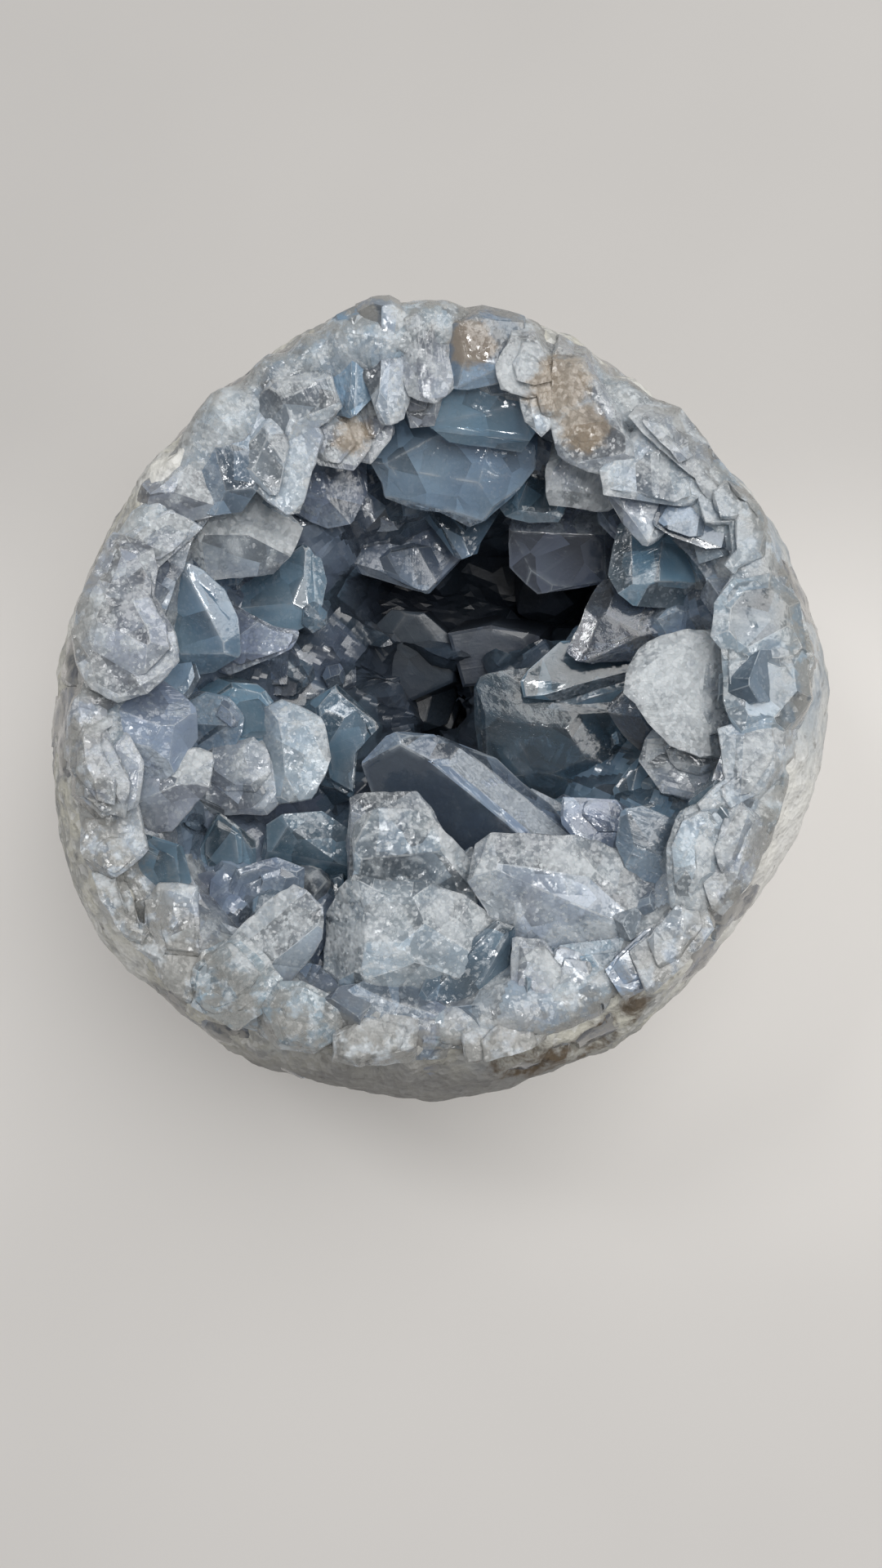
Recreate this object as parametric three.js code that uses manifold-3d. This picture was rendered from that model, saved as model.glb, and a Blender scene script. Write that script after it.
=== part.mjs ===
// Celestite geode: an egg-shaped stone, open at the top, whose hollow is lined with a crust of celestite.
//
// Millimetres, +Z up. The origin is the middle of the small flat spot that it rests on. +Y is the back.
// The stone is a closed lathe pushed in and out to its real outline. The crust is one solid: a lumpy lining
// of the hollow, joined with the crystals that stand on it. A crystal is the space behind a dozen flat faces.
import * as THREE from "three";
import { ConvexGeometry } from "three/addons/geometries/ConvexGeometry.js";
import { mergeVertices } from "three/addons/utils/BufferGeometryUtils.js";
import Module from "manifold-3d";

const wasm = await Module();
wasm.setup();

// ---------------------------------------------------------------- driving dimensions

const GIRTH = 60; // radius of the profiles below at the stone's widest level
const MOUTH = 46; // radius of the profiles below at the inner edge of the lip
const SEGMENTS = 48; // steps around the stone
const CORE_SEGMENTS = 26; // steps around the empty core of the hollow
const SEAT_GAP = 0.35; // between the stone and the crust that lines it
const ROOT_DEPTH = 1.2; // how deep below the seat a crystal's root is cut off, inside the lining
const LINING = 5.2; // thickness of the crust where no crystal stands on it
const LINING_LUMPS = 1.6; // how far the lining swells and sinks
const STONE_LUMPS = 1.1; // how far the stone's outside swells and sinks
const LIP_CHIPS = 1.2; // how far the lip is chipped up and down

// The stone's widest outline seen from above, as [degrees from +X, radius].
const OUTLINE = [
  [4, 60.0], [14, 59.6], [26, 57.6], [47, 55.3], [66, 56.6], [82, 58.4], [98, 58.8], [112, 57.0],
  [134, 55.1], [154, 55.7], [172, 58.6], [190, 59.9], [208, 60.6], [226, 59.4], [246, 58.2], [268, 58.0],
  [284, 57.6], [302, 56.0], [322, 54.4], [340, 56.0], [352, 58.2],
];

// The inner edge of the lip seen from above, as [degrees, radius], and its height, as [degrees, height].
const MOUTH_OUTLINE = [
  [0, 45.4], [20, 44.4], [40, 43.8], [60, 44.2], [78, 45.2], [98, 45.4], [118, 44.4], [140, 43.6],
  [160, 43.4], [180, 44.6], [200, 47.0], [216, 49.0], [232, 49.4], [248, 48.4], [268, 46.8],
  [290, 45.6], [308, 45.0], [326, 44.6], [345, 45.0],
];
const LIP_HEIGHT = [
  [0, 72.5], [30, 72], [60, 75], [90, 77.5], [118, 76], [150, 73], [180, 70.5], [200, 67.5], [220, 64.5],
  [240, 65], [258, 67.5], [280, 69.5], [310, 70.5], [335, 71.5],
];
const LIFT_FROM = 38; // below this height the stone is level all round
const NARROWS_FROM = 44; // above this height the stone draws in from its outline to its mouth

// Profiles as [radius, height], for a stone whose outline and mouth are circles.
const LIP_TOP = 74;
const OUTSIDE = [
  [0, -2.2], [15, -2.0], [27, 1.4], [40, 8.6], [50, 18.5], [57, 31.5], [60, 46], [59, 57], [55.4, 66],
  [51.2, 71.6],
];
const LIP = [[48.8, LIP_TOP], [MOUTH, LIP_TOP - 1]];
const HOLLOW = [
  [MOUTH, LIP_TOP - 1], [49, 65], [51.4, 56], [51.2, 45], [47.4, 33.5], [39.2, 23.4], [27, 16.6], [13, 13.4],
  [0, 12.8],
];
const OUTSIDE_STEPS = 11;
const HOLLOW_STEPS = 7;
const CORE_STEPS = 5;

// Flats ground on the stone's outside: the direction each faces, and its distance from the stone's middle.
const MIDDLE = new THREE.Vector3(0, 0, 42);
const FLATS = [
  { faces: [0.62, -0.5, -0.6], at: 50.5 },
  { faces: [-0.75, 0.45, -0.48], at: 52.5 },
  { faces: [-0.25, -0.86, -0.42], at: 52.5 },
  { faces: [0.5, 0.78, -0.35], at: 53.0 },
];

// Rust-stained pits in the stone's shoulder near the lip: middle and size.
const PITS = [
  { at: [21.8, -50.2, 63.5], size: [3.8, 3.4, 4.4] },
  { at: [17.0, -51.6, 65.5], size: [2.6, 2.6, 2.2] },
  { at: [12.4, -53.6, 63.0], size: [3.4, 2.4, 2.8] },
  { at: [25.4, -47.0, 66.5], size: [2.4, 2.8, 2.4] },
];

// Angles between a celestite crystal's faces come from its cell, in ångström.
const CELL = { a: 8.359, b: 5.352, c: 6.866 };

// The crystals that give the hollow its look. Each grows from a root in the lining to a tip.
// wide and thick are across the prism; roll turns it about its length; blunt cuts the point back.
const BACK_WALL = [
  { from: [2, 51, 63], tip: [4, 22, 61], wide: 22, thick: 13, roll: 4, blunt: 0.5 },
  { from: [-4, 50, 66], tip: [14, 38, 71], wide: 13, thick: 9, roll: 10, blunt: 3 },
  { from: [8, 52, 44], tip: [4, 21, 50], wide: 21, thick: 13, roll: -8, blunt: 0.5 },
  { from: [16, 50, 58], tip: [15, 25, 57], wide: 10, thick: 12, roll: 20, blunt: 3 },
  { from: [-14, 49, 75], tip: [-13, 37, 67], wide: 5, thick: 6, roll: 20, blunt: 2 },
  { from: [-10, 50, 77], tip: [-10, 36, 68], wide: 5, thick: 6, roll: -15, blunt: 2 },
  { from: [-6, 51, 77], tip: [-6.5, 37, 69], wide: 5, thick: 6, roll: 30, blunt: 2 },
  { from: [-2, 51, 77], tip: [-3, 36, 68], wide: 5, thick: 6, roll: 0, blunt: 2 },
  { from: [4, 52, 74], tip: [5, 44, 76], wide: 7, thick: 7, roll: 25, blunt: 2 },
  { from: [11, 52, 73], tip: [11, 43, 75], wide: 8, thick: 7, roll: -20, blunt: 2 },
  { from: [-20, 46, 60], tip: [-15.5, 26, 57], wide: 9, thick: 9, roll: 30, blunt: 3 },
  { from: [-10, 49, 56], tip: [-9, 28, 56], wide: 7, thick: 7, roll: 12, blunt: 1 },
  { from: [-3, 49, 52], tip: [-4, 26, 51], wide: 8, thick: 8, roll: 48, blunt: 1 },
  { from: [-31, 39, 66], tip: [-21, 28, 66], wide: 8, thick: 7, roll: 5, blunt: 1 },
  { from: [-27, 43, 68], tip: [-18, 31, 69], wide: 7, thick: 7, roll: 35, blunt: 2 },
  { from: [-37, 33, 68], tip: [-27, 27, 69], wide: 8, thick: 6, roll: -10, blunt: 2 },
  { from: [24, 47, 68], tip: [21, 30, 67], wide: 10, thick: 9, roll: 10, blunt: 1 },
  { from: [30, 44, 66], tip: [26, 29, 65], wide: 8, thick: 8, roll: 40, blunt: 2 },
];
const RIGHT_WALL = [
  { from: [37, 36, 66], tip: [30, 22, 66], wide: 11, thick: 8, roll: 0, blunt: 0.5 },
  { from: [48, 27, 58], tip: [26, 15, 61], wide: 19, thick: 15, roll: 18, blunt: 6 },
  { from: [34, 42, 42], tip: [18, 19, 42], wide: 17, thick: 15, roll: 10, blunt: 3 },
  { from: [50, 16, 55], tip: [17, 8, 51], wide: 13, thick: 12, roll: 38, blunt: 0.5 },
  { from: [46, 0, 64], tip: [28, -2, 72], wide: 14, thick: 11, roll: 8, blunt: 5 },
  { from: [49, 6, 48], tip: [14, 4.5, 47], wide: 10, thick: 12, roll: 46, blunt: 0.5 },
  { from: [48, -8, 40], tip: [5, -2, 41], wide: 20, thick: 18, roll: 24, blunt: 3 },
  { from: [50, -16, 50], tip: [15, -13, 48], wide: 14, thick: 13, roll: 40, blunt: 1 },
  { from: [44, -10, 58], tip: [26, -7, 62], wide: 6, thick: 7, roll: 30, blunt: 3 },
  { from: [50, -14, 62], tip: [33, -12, 66], wide: 10, thick: 9, roll: 60, blunt: 3 },
  { from: [50, 12, 66], tip: [40, 9, 70], wide: 9, thick: 8, roll: 25, blunt: 4 },
];
const FLOOR = [
  { from: [36, -34, 52], tip: [-13, -4.5, 54], wide: 10, thick: 9, roll: 34, blunt: 3 },
  { from: [-2, 12, 12], tip: [-4, 7, 36], wide: 20, thick: 17, roll: 40, blunt: 3 },
  { from: [8, 22, 14], tip: [13, 12, 37], wide: 9, thick: 8, roll: 15, blunt: 1 },
  { from: [-36, 12, 28], tip: [-16, 9, 41], wide: 11, thick: 10, roll: 20, blunt: 3 },
  { from: [-30, -14, 20], tip: [-14, 1, 38], wide: 7, thick: 7, roll: 60, blunt: 1 },
  { from: [10, -20, 14], tip: [2, -8, 32], wide: 13, thick: 11, roll: 15, blunt: 2 },
];
const LEFT_WALL = [
  { from: [-50, 13, 58], tip: [-29, 7, 61], wide: 14, thick: 13, roll: 16, blunt: 4 },
  { from: [-50, -6, 60], tip: [-35, -5, 69], wide: 13, thick: 12, roll: 6, blunt: 5 },
  { from: [-50, -20, 56], tip: [-37, -14, 63], wide: 12, thick: 11, roll: 30, blunt: 4 },
  { from: [-43, 28, 64], tip: [-21, 19, 64], wide: 11, thick: 9, roll: 5, blunt: 3 },
  { from: [-44, 26, 44], tip: [-18, 21, 45], wide: 13, thick: 12, roll: 25, blunt: 2 },
  { from: [-44, 20, 60], tip: [-34, 23, 66], wide: 5, thick: 5, roll: 10, blunt: 2 },
  { from: [-48, 2, 46], tip: [-25, 0, 51], wide: 8, thick: 8, roll: 30, blunt: 2 },
  { from: [-46, -12, 40], tip: [-20, -7, 53], wide: 11, thick: 10, roll: 12, blunt: 3 },
  { from: [-48, -8, 50], tip: [-31, -4, 55], wide: 8, thick: 7, roll: 50, blunt: 2 },
];
const FRONT_WALL = [
  { from: [-42, -36, 56], tip: [-37, -31, 61], wide: 7, thick: 6, roll: 10, blunt: 2 },
  { from: [-40, -36, 38], tip: [-31, -26, 49], wide: 10, thick: 9, roll: 40, blunt: 2 },
  { from: [-33, -44, 60], tip: [-17.5, -29, 64], wide: 9, thick: 8, roll: 12, blunt: 2 },
  { from: [-26, -34, 34], tip: [-13, -14, 47], wide: 15, thick: 13, roll: 10, blunt: 3 },
  { from: [-4, -44, 50], tip: [-8, -14, 56], wide: 13, thick: 10, roll: 4, blunt: 3 },
  { from: [-2, -50, 56], tip: [-9, -22, 64], wide: 17, thick: 13, roll: 12, blunt: 4 },
  { from: [-8, -52, 60], tip: [-11, -32, 68], wide: 15, thick: 12, roll: 20, blunt: 4 },
  { from: [0, -53, 60], tip: [11, -33, 68], wide: 11, thick: 12, roll: 35, blunt: 1 },
  { from: [38, -38, 58], tip: [3, -22, 67], wide: 15, thick: 10, roll: 3, blunt: 1 },
  { from: [43, -33, 58], tip: [24, -19, 66], wide: 11, thick: 10, roll: 14, blunt: 3 },
  { from: [48, -24, 58], tip: [35, -19, 68], wide: 8, thick: 8, roll: 45, blunt: 2 },
  { from: [12, -50, 64], tip: [13, -38, 70], wide: 8, thick: 7, roll: 20, blunt: 2 },
  { from: [24, -44, 62], tip: [22, -33, 69], wide: 9, thick: 8, roll: 60, blunt: 3 },
];

// Rows of smaller crystals around the wall. count crystals stand at height on the profile, each about reach
// long, aimed inwards and up by up, and cut back by at least blunt.
const ROWS = [
  { height: 70, count: 24, reach: 9.5, wide: 13, up: 0.4, blunt: 2 },
  { height: 62, count: 12, reach: 11, wide: 10, up: 0.3, blunt: 0 },
  { height: 52, count: 8, reach: 13, wide: 11, up: 0.2, blunt: 0 },
  { height: 40, count: 8, reach: 16, wide: 12, up: 0.3, blunt: 0 },
  { height: 27, count: 6, reach: 15, wide: 12, up: 0.5, blunt: 0 },
  { height: 17, count: 3, reach: 12, wide: 11, up: 0.9, blunt: 0 },
];
const STUBBY_BELOW = 9.5; // crystals narrower than this have only four sides

// ---------------------------------------------------------------- helpers

/** A number from 0 to 1 that looks random and is the same each time for the same n. */
const scatter = (n) => {
  const s = Math.sin(n * 12.9898 + 4.1414) * 43758.5453;
  return s - Math.floor(s);
};

/** Smooth noise from -1 to 1 at a point, with lumps about one unit across. */
function noise(x, y, z) {
  const [i, j, k] = [x, y, z].map(Math.floor);
  const [u, v, w] = [x - i, y - j, z - k].map((t) => t * t * (3 - 2 * t));
  const corner = (a, b, c) => scatter((i + a) * 17.13 + (j + b) * 59.71 + (k + c) * 113.37);
  const mix = THREE.MathUtils.lerp;
  const row = (b, c) => mix(corner(0, b, c), corner(1, b, c), u);
  return 2 * mix(mix(row(0, 0), row(1, 0), v), mix(row(0, 1), row(1, 1), v), w) - 1;
}

/** Reads a closed list of [degrees, value] at any angle, rounded between its entries. */
function around(entries) {
  const [start] = entries[0];
  return (angle) => {
    const degrees = start + THREE.MathUtils.euclideanModulo(THREE.MathUtils.radToDeg(angle) - start, 360);
    const i = entries.findLastIndex(([turn]) => turn <= degrees + 1e-9);
    const end = i + 1 < entries.length ? entries[i + 1][0] : start + 360;
    const t = (degrees - entries[i][0]) / (end - entries[i][0]);
    const [p, q, r, s] = [-1, 0, 1, 2].map((n) => entries[(i + n + entries.length) % entries.length][1]);
    return q + (t * (r - p + t * (2 * p - 5 * q + 4 * r - s + t * (3 * q - p - 3 * r + s)))) / 2;
  };
}
const outlineAt = around(OUTLINE);
const mouthAt = around(MOUTH_OUTLINE);
const lipAt = around(LIP_HEIGHT);

/** Moves a point of a round lathe to the real outline, mouth and lip. */
function settle(x, y, z) {
  const angle = Math.atan2(y, x);
  const narrowed = THREE.MathUtils.smoothstep(z, NARROWS_FROM, LIP_TOP - 3);
  const lifted = THREE.MathUtils.smoothstep(z, LIFT_FROM, LIP_TOP);
  const stretch = THREE.MathUtils.lerp(outlineAt(angle) / GIRTH, mouthAt(angle) / MOUTH, narrowed);
  return new THREE.Vector3(x * stretch, y * stretch, z + lifted * (lipAt(angle) - LIP_TOP));
}

/** A spline through a profile's points, as steps + 1 points. */
function smooth(profile, steps) {
  const points = new THREE.SplineCurve(profile.map(([r, z]) => new THREE.Vector2(r, z))).getPoints(steps);
  for (const end of [points[0], points[steps]]) if (Math.abs(end.x) < 1e-6) end.x = 0;
  return points;
}

/** The profile moved inwards, to its left as it is walked, by distance. */
function inwards(points, distance) {
  return points.map((p, i) => {
    const [before, after] = [points[Math.max(i - 1, 0)], points[Math.min(i + 1, points.length - 1)]];
    const along = after.clone().sub(before).normalize();
    const moved = new THREE.Vector2(p.x - Math.abs(along.y) * distance, p.y - along.x * distance);
    return i === points.length - 1 ? new THREE.Vector2(0, p.y + distance) : moved;
  });
}

/** Revolves a profile about Z, settles it, and moves each point outwards by push(point, profile step). */
function revolve(profile, push = () => 0, segments = SEGMENTS) {
  const geometry = new THREE.LatheGeometry(profile, segments).rotateX(Math.PI / 2);
  const at = geometry.getAttribute("position");
  for (let i = 0; i < at.count; i++) {
    const step = i % profile.length;
    const onAxis = profile[step].x === 0;
    const placed = settle(onAxis ? 0 : at.getX(i), onAxis ? 0 : at.getY(i), at.getZ(i));
    const outwards = placed.clone().sub(MIDDLE).normalize();
    placed.addScaledVector(outwards, push(placed, step));
    at.setXYZ(i, placed.x, placed.y, placed.z);
  }
  return geometry;
}

/** A closed geometry as a manifold-3d solid with its faces outwards. */
function solidOf(geometry) {
  const bare = geometry.clone();
  bare.deleteAttribute("normal");
  bare.deleteAttribute("uv");
  const merged = mergeVertices(bare, 1e-4);
  const corners = Array.from(merged.index.array);
  const triVerts = [];
  for (let i = 0; i < corners.length; i += 3) {
    const [a, b, c] = corners.slice(i, i + 3);
    if (a !== b && b !== c && a !== c) triVerts.push(a, b, c);
  }
  const vertProperties = merged.attributes.position.array;
  const made = (order) =>
    new wasm.Manifold(new wasm.Mesh({ numProp: 3, vertProperties, triVerts: new Uint32Array(order) }));
  const solid = made(triVerts);
  return solid.volume() > 0 ? solid : made(triVerts.reverse());
}

/** The corners of a solid's largest closed skin, without the skins of pockets sealed inside it. */
function outerSkin(corners, points) {
  const links = Array.from({ length: points.length / 3 }, (_, i) => i);
  const leader = (i) => {
    while (links[i] !== i) i = links[i] = links[links[i]];
    return i;
  };
  const skins = new Map();
  const at = (i) => new THREE.Vector3().fromArray(points, 3 * i);
  for (let i = 0; i < corners.length; i += 3)
    for (const step of [1, 2]) links[leader(corners[i + step])] = leader(corners[i]);
  for (let i = 0; i < corners.length; i += 3) {
    const skin = leader(corners[i]);
    if (!skins.has(skin)) skins.set(skin, { corners: [], volume: 0 });
    const [a, b, c] = corners.slice(i, i + 3);
    skins.get(skin).corners.push(a, b, c);
    skins.get(skin).volume += at(a).dot(at(b).cross(at(c)));
  }
  return [...skins.values()].reduce((most, skin) => (skin.volume > most.volume ? skin : most)).corners;
}

/** A manifold-3d solid as a geometry with flat faces. */
function geometryOf(solid) {
  const mesh = solid.getMesh();
  const geometry = new THREE.BufferGeometry();
  geometry.setAttribute("position", new THREE.BufferAttribute(mesh.vertProperties.slice(), 3));
  geometry.setIndex(outerSkin(mesh.triVerts, mesh.vertProperties));
  const flat = geometry.toNonIndexed();
  flat.computeVertexNormals();
  return flat;
}

/** The space behind a set of planes {normal, at}, as a convex geometry. */
function spaceBehind(planes) {
  const corners = [];
  const behind = (p) => planes.every(({ normal, at }) => normal.dot(p) <= at + 1e-6);
  for (let i = 0; i < planes.length; i++)
    for (let j = i + 1; j < planes.length; j++)
      for (let k = j + 1; k < planes.length; k++) {
        const [a, b, c] = [planes[i], planes[j], planes[k]];
        const ab = a.normal.clone().cross(b.normal);
        const spread = ab.dot(c.normal);
        if (Math.abs(spread) < 1e-6) continue;
        const point = b.normal.clone().cross(c.normal).multiplyScalar(a.at)
          .addScaledVector(c.normal.clone().cross(a.normal), b.at)
          .addScaledVector(ab, c.at)
          .divideScalar(spread);
        if (behind(point) && corners.every((q) => q.distanceTo(point) > 1e-3)) corners.push(point);
      }
  return new ConvexGeometry(corners);
}

// ---------------------------------------------------------------- crystals

/** The outward direction of crystal face (h k l), the prism's length along X and a flat side facing Z. */
const face = (h, k, l) => new THREE.Vector3(h / CELL.a, k / CELL.b, l / CELL.c).normalize();

/**
 * One crystal, rolled and stood between its root and its tip: a six-sided prism with a chisel end,
 * or, if stubby, a four-sided one whose end has only its two cheeks.
 */
function crystal({ from, tip, wide, thick, roll, blunt, stubby = wide < STUBBY_BELOW }, seed) {
  const root = new THREE.Vector3(...from);
  const length = root.distanceTo(new THREE.Vector3(...tip));
  const uneven = (n, share) => 1 + share * (scatter(seed * 31 + n) - 0.5);
  const planes = [];
  const add = (normal, at) => planes.push({ normal, at });
  add(new THREE.Vector3(-1, 0, 0), 0);
  add(new THREE.Vector3(1, 0.12 * uneven(15, 2), 0.1 * uneven(16, 2)).normalize(), length - blunt);
  for (const side of [1, -1]) {
    add(face(0, 0, side), (thick / 2) * uneven(side + 2, 0.25));
    const cheek = face(2, side, 0);
    add(cheek, cheek.x * length * uneven(side + 9, 0.05));
    if (stubby) {
      add(face(0, side, 0.25 * uneven(side + 7, 3)), (wide / 2) * uneven(side + 5, 0.2));
      continue;
    }
    const brow = face(1, 0, side);
    add(brow, brow.x * length + Math.abs(brow.z) * (thick / 4) * uneven(side + 12, 0.8));
    for (const up of [1, -1]) {
      const slope = face(0, side, up);
      add(slope, slope.y * side * (wide / 2) * uneven(side * 2 + up + 5, 0.2));
    }
  }
  const along = new THREE.Vector3(...tip).sub(root).normalize();
  const across = new THREE.Vector3(0, 0, 1).cross(along).normalize();
  const up = along.clone().cross(across);
  const stand = new THREE.Matrix4().makeBasis(along, across, up).setPosition(root);
  const turn = new THREE.Matrix4().makeRotationX(THREE.MathUtils.degToRad(roll));
  return spaceBehind(planes).applyMatrix4(stand.multiply(turn));
}

/** Where the hollow's wall is at a height, in the direction of angle, and which way it faces. */
function wallAt(angle, height) {
  const wall = smooth(HOLLOW, 60);
  const i = THREE.MathUtils.clamp(wall.findIndex((p) => p.y < height), 1, wall.length - 1);
  const [above, below] = [wall[i - 1], wall[i]];
  const slope = above.clone().sub(below).normalize();
  const spot = settle(below.x * Math.cos(angle), below.x * Math.sin(angle), below.y);
  const level = -Math.abs(slope.y);
  const inward = new THREE.Vector3(Math.cos(angle) * level, Math.sin(angle) * level, slope.x);
  return { spot, inward: inward.normalize() };
}

/** The smaller crystals of one row, each a little out of line with the next. */
function rowOfCrystals({ height, count, reach, wide, up, blunt }, row) {
  return Array.from({ length: count }, (_, n) => {
    const seed = row * 100 + n;
    const vary = (k, least, most) => THREE.MathUtils.lerp(least, most, scatter(seed * 7 + k));
    const angle = ((n + vary(1, -0.3, 0.3)) / count) * 2 * Math.PI + row;
    const { spot, inward } = wallAt(angle, height + vary(2, -3, 3));
    const sway = new THREE.Vector3(vary(3, -0.35, 0.35), vary(4, -0.35, 0.35), up + vary(5, -0.3, 0.3));
    const aim = inward.clone().add(sway).normalize();
    const tip = spot.clone().addScaledVector(aim, reach * vary(6, 0.75, 1.2));
    const size = wide * vary(7, 0.75, 1.2);
    return {
      from: spot.addScaledVector(aim, SEAT_GAP + ROOT_DEPTH).toArray(),
      tip: tip.toArray(),
      wide: size,
      thick: size * vary(8, 0.7, 1.05),
      roll: vary(9, 0, 180),
      blunt: blunt + vary(10, 0, 2.5),
      stubby: true,
    };
  });
}

// ---------------------------------------------------------------- the two solids

/** The stone: outside, chipped lip and hollow in one wall, with its flats, pits and resting spot cut. */
function buildStone() {
  const outside = smooth(OUTSIDE, OUTSIDE_STEPS);
  const lip = LIP.map(([r, z]) => new THREE.Vector2(r, z));
  const hollow = smooth(HOLLOW, HOLLOW_STEPS).slice(1);
  const push = (p, step) => {
    if (step > outside.length) return 0;
    const lumps = noise(p.x / 13, p.y / 13, p.z / 13) + 0.45 * noise(p.x / 5, p.y / 5, p.z / 5);
    const chips = step >= outside.length - 1 ? LIP_CHIPS * noise(p.x / 4, p.y / 4, 9) : 0;
    return STONE_LUMPS * lumps + chips;
  };
  let stone = solidOf(revolve([...outside, ...lip, ...hollow], push));
  const block = new THREE.BoxGeometry(4 * GIRTH, 4 * GIRTH, GIRTH);
  stone = stone.subtract(solidOf(block.clone().translate(0, 0, -GIRTH / 2)));
  for (const { faces, at } of FLATS) {
    const normal = new THREE.Vector3(...faces).normalize();
    const turn = new THREE.Quaternion().setFromUnitVectors(new THREE.Vector3(0, 0, 1), normal);
    const place = MIDDLE.clone().addScaledVector(normal, at + GIRTH / 2);
    stone = stone.subtract(solidOf(block.clone().applyQuaternion(turn).translate(...place)));
  }
  PITS.forEach(({ at, size }, n) => {
    const pit = new THREE.IcosahedronGeometry(1, 0).rotateX(n).rotateZ(2 * n).scale(...size).translate(...at);
    stone = stone.subtract(solidOf(pit));
  });
  return stone;
}

/** The hollow's wall moved inwards by distance, from the bottom up and on to the axis above it. */
function room(distance, steps, above) {
  const wall = inwards(smooth(HOLLOW, steps), distance).reverse();
  const mouth = wall[wall.length - 1].x;
  const edge = [...wall, ...above.map(([r, z]) => new THREE.Vector2(mouth + r, z))];
  return [...edge, new THREE.Vector2(0, edge[edge.length - 1].y)];
}

/** The space that the crystals may fill: the hollow less their roots' depth, and the air above the lip. */
function crystalRoom() {
  const above = [[0, LIP_TOP + 2], [3, LIP_TOP + 3], [3, 2 * GIRTH]];
  return solidOf(revolve(room(SEAT_GAP + ROOT_DEPTH, HOLLOW_STEPS, above)));
}

/** The lining that every crystal grows from: what fills the hollow, less its lumpy empty core. */
function buildLining() {
  const filling = solidOf(revolve(room(SEAT_GAP, HOLLOW_STEPS, [])));
  const lumps = (p) => LINING_LUMPS * noise(p.x / 8, p.y / 8, p.z / 8);
  const core = solidOf(revolve(room(LINING, CORE_STEPS, [[1, 2 * GIRTH]]), lumps, CORE_SEGMENTS));
  return filling.subtract(core);
}

/** The crust: the lining and every crystal, joined. */
function buildCrust() {
  const chosen = [BACK_WALL, RIGHT_WALL, FLOOR, LEFT_WALL, FRONT_WALL].flat();
  const rows = ROWS.flatMap(rowOfCrystals);
  const crystals = [...chosen, ...rows].map((shape, n) => solidOf(crystal(shape, n)));
  const joined = crystals.reduce((all, next) => all.add(next));
  return buildLining().add(joined.intersect(crystalRoom()));
}

const stoneLook = new THREE.MeshStandardMaterial({ color: 0xb9b8b0, roughness: 0.85, metalness: 0 });
const crystalLook = new THREE.MeshStandardMaterial({
  color: 0x8fa6ba, roughness: 0.2, metalness: 0, transparent: true, opacity: 0.85, flatShading: true,
});

const geode = new THREE.Group();
const stone = new THREE.Mesh(geometryOf(buildStone()), stoneLook);
stone.name = "stone";
const crust = new THREE.Mesh(geometryOf(buildCrust()), crystalLook);
crust.name = "crystal_crust";
geode.add(stone, crust);

export default geode;
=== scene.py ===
"""A celestite geode: the looks of its stone and of the crystals that line it.

Sizes and places are millimetres, +Z up, from the middle of the flat spot that the stone rests on,
and each finished mesh is scaled to metres. +Y is the back. The stone is a closed lathe pushed to its
real outline. The crystals are cut one by one from blocks, and those of one clarity are joined into
one closed body, with what the finish needs to know about each face kept on the face.
"""

import logging
import math
from dataclasses import dataclass, field
from enum import Enum
from functools import cache
from typing import Callable, Optional, Sequence

import bmesh
import bpy
from bmesh.types import BMesh
from mathutils import Euler, Matrix, Vector, noise


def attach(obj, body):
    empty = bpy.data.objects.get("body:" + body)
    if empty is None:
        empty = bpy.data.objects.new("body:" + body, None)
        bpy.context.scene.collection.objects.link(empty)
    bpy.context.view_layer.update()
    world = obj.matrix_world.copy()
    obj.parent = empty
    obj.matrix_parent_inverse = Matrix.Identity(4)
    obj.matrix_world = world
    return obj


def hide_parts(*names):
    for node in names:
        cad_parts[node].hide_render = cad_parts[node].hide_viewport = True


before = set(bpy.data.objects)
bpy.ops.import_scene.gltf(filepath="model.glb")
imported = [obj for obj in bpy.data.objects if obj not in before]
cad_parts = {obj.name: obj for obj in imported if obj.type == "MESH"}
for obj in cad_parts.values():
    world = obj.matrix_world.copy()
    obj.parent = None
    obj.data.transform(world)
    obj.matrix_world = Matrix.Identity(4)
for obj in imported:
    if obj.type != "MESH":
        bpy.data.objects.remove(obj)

log = logging.getLogger("geode")

MM = 0.001  # the tables below are in millimetres, and the scene is in metres

Place = tuple[float, float, float]
Profile = Sequence[tuple[float, float]]
Colour = tuple[float, float, float]

# ---------------------------------------------------------------- the stone's form

GIRTH = 60.0  # radius of the profiles at the stone's widest level
MOUTH = 46.0  # radius of the profiles at the inner edge of the lip
LIP_TOP = 74.0
LIFT_FROM = 38.0  # below this height the stone is level all round
NARROWS_FROM = 44.0  # above this height the stone draws in from its outline to its mouth
MIDDLE = Vector((0, 0, 42))

# The widest outline and the lip's inner edge as (degrees from +X, radius), and the lip's height.
OUTLINE: Profile = (
    (4, 60.0), (14, 59.6), (26, 57.6), (47, 55.3), (66, 56.6), (82, 58.4), (98, 58.8), (112, 57.0),
    (134, 55.1), (154, 55.7), (172, 58.6), (190, 59.9), (208, 60.6), (226, 59.4), (246, 58.2),
    (268, 58.0), (284, 57.6), (302, 56.0), (322, 54.4), (340, 56.0), (352, 58.2),
)
MOUTH_OUTLINE: Profile = (
    (0, 45.4), (20, 44.4), (40, 43.8), (60, 44.2), (78, 45.2), (98, 45.4), (118, 44.4), (140, 43.6),
    (160, 43.4), (180, 44.6), (200, 47.0), (216, 49.0), (232, 49.4), (248, 48.4), (268, 46.8),
    (290, 45.6), (308, 45.0), (326, 44.6), (345, 45.0),
)
LIP_HEIGHT: Profile = (
    (0, 72.5), (30, 72), (60, 75), (90, 77.5), (118, 76), (150, 73), (180, 70.5), (200, 67.5),
    (220, 64.5), (240, 65), (258, 67.5), (280, 69.5), (310, 70.5), (335, 71.5),
)
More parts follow.
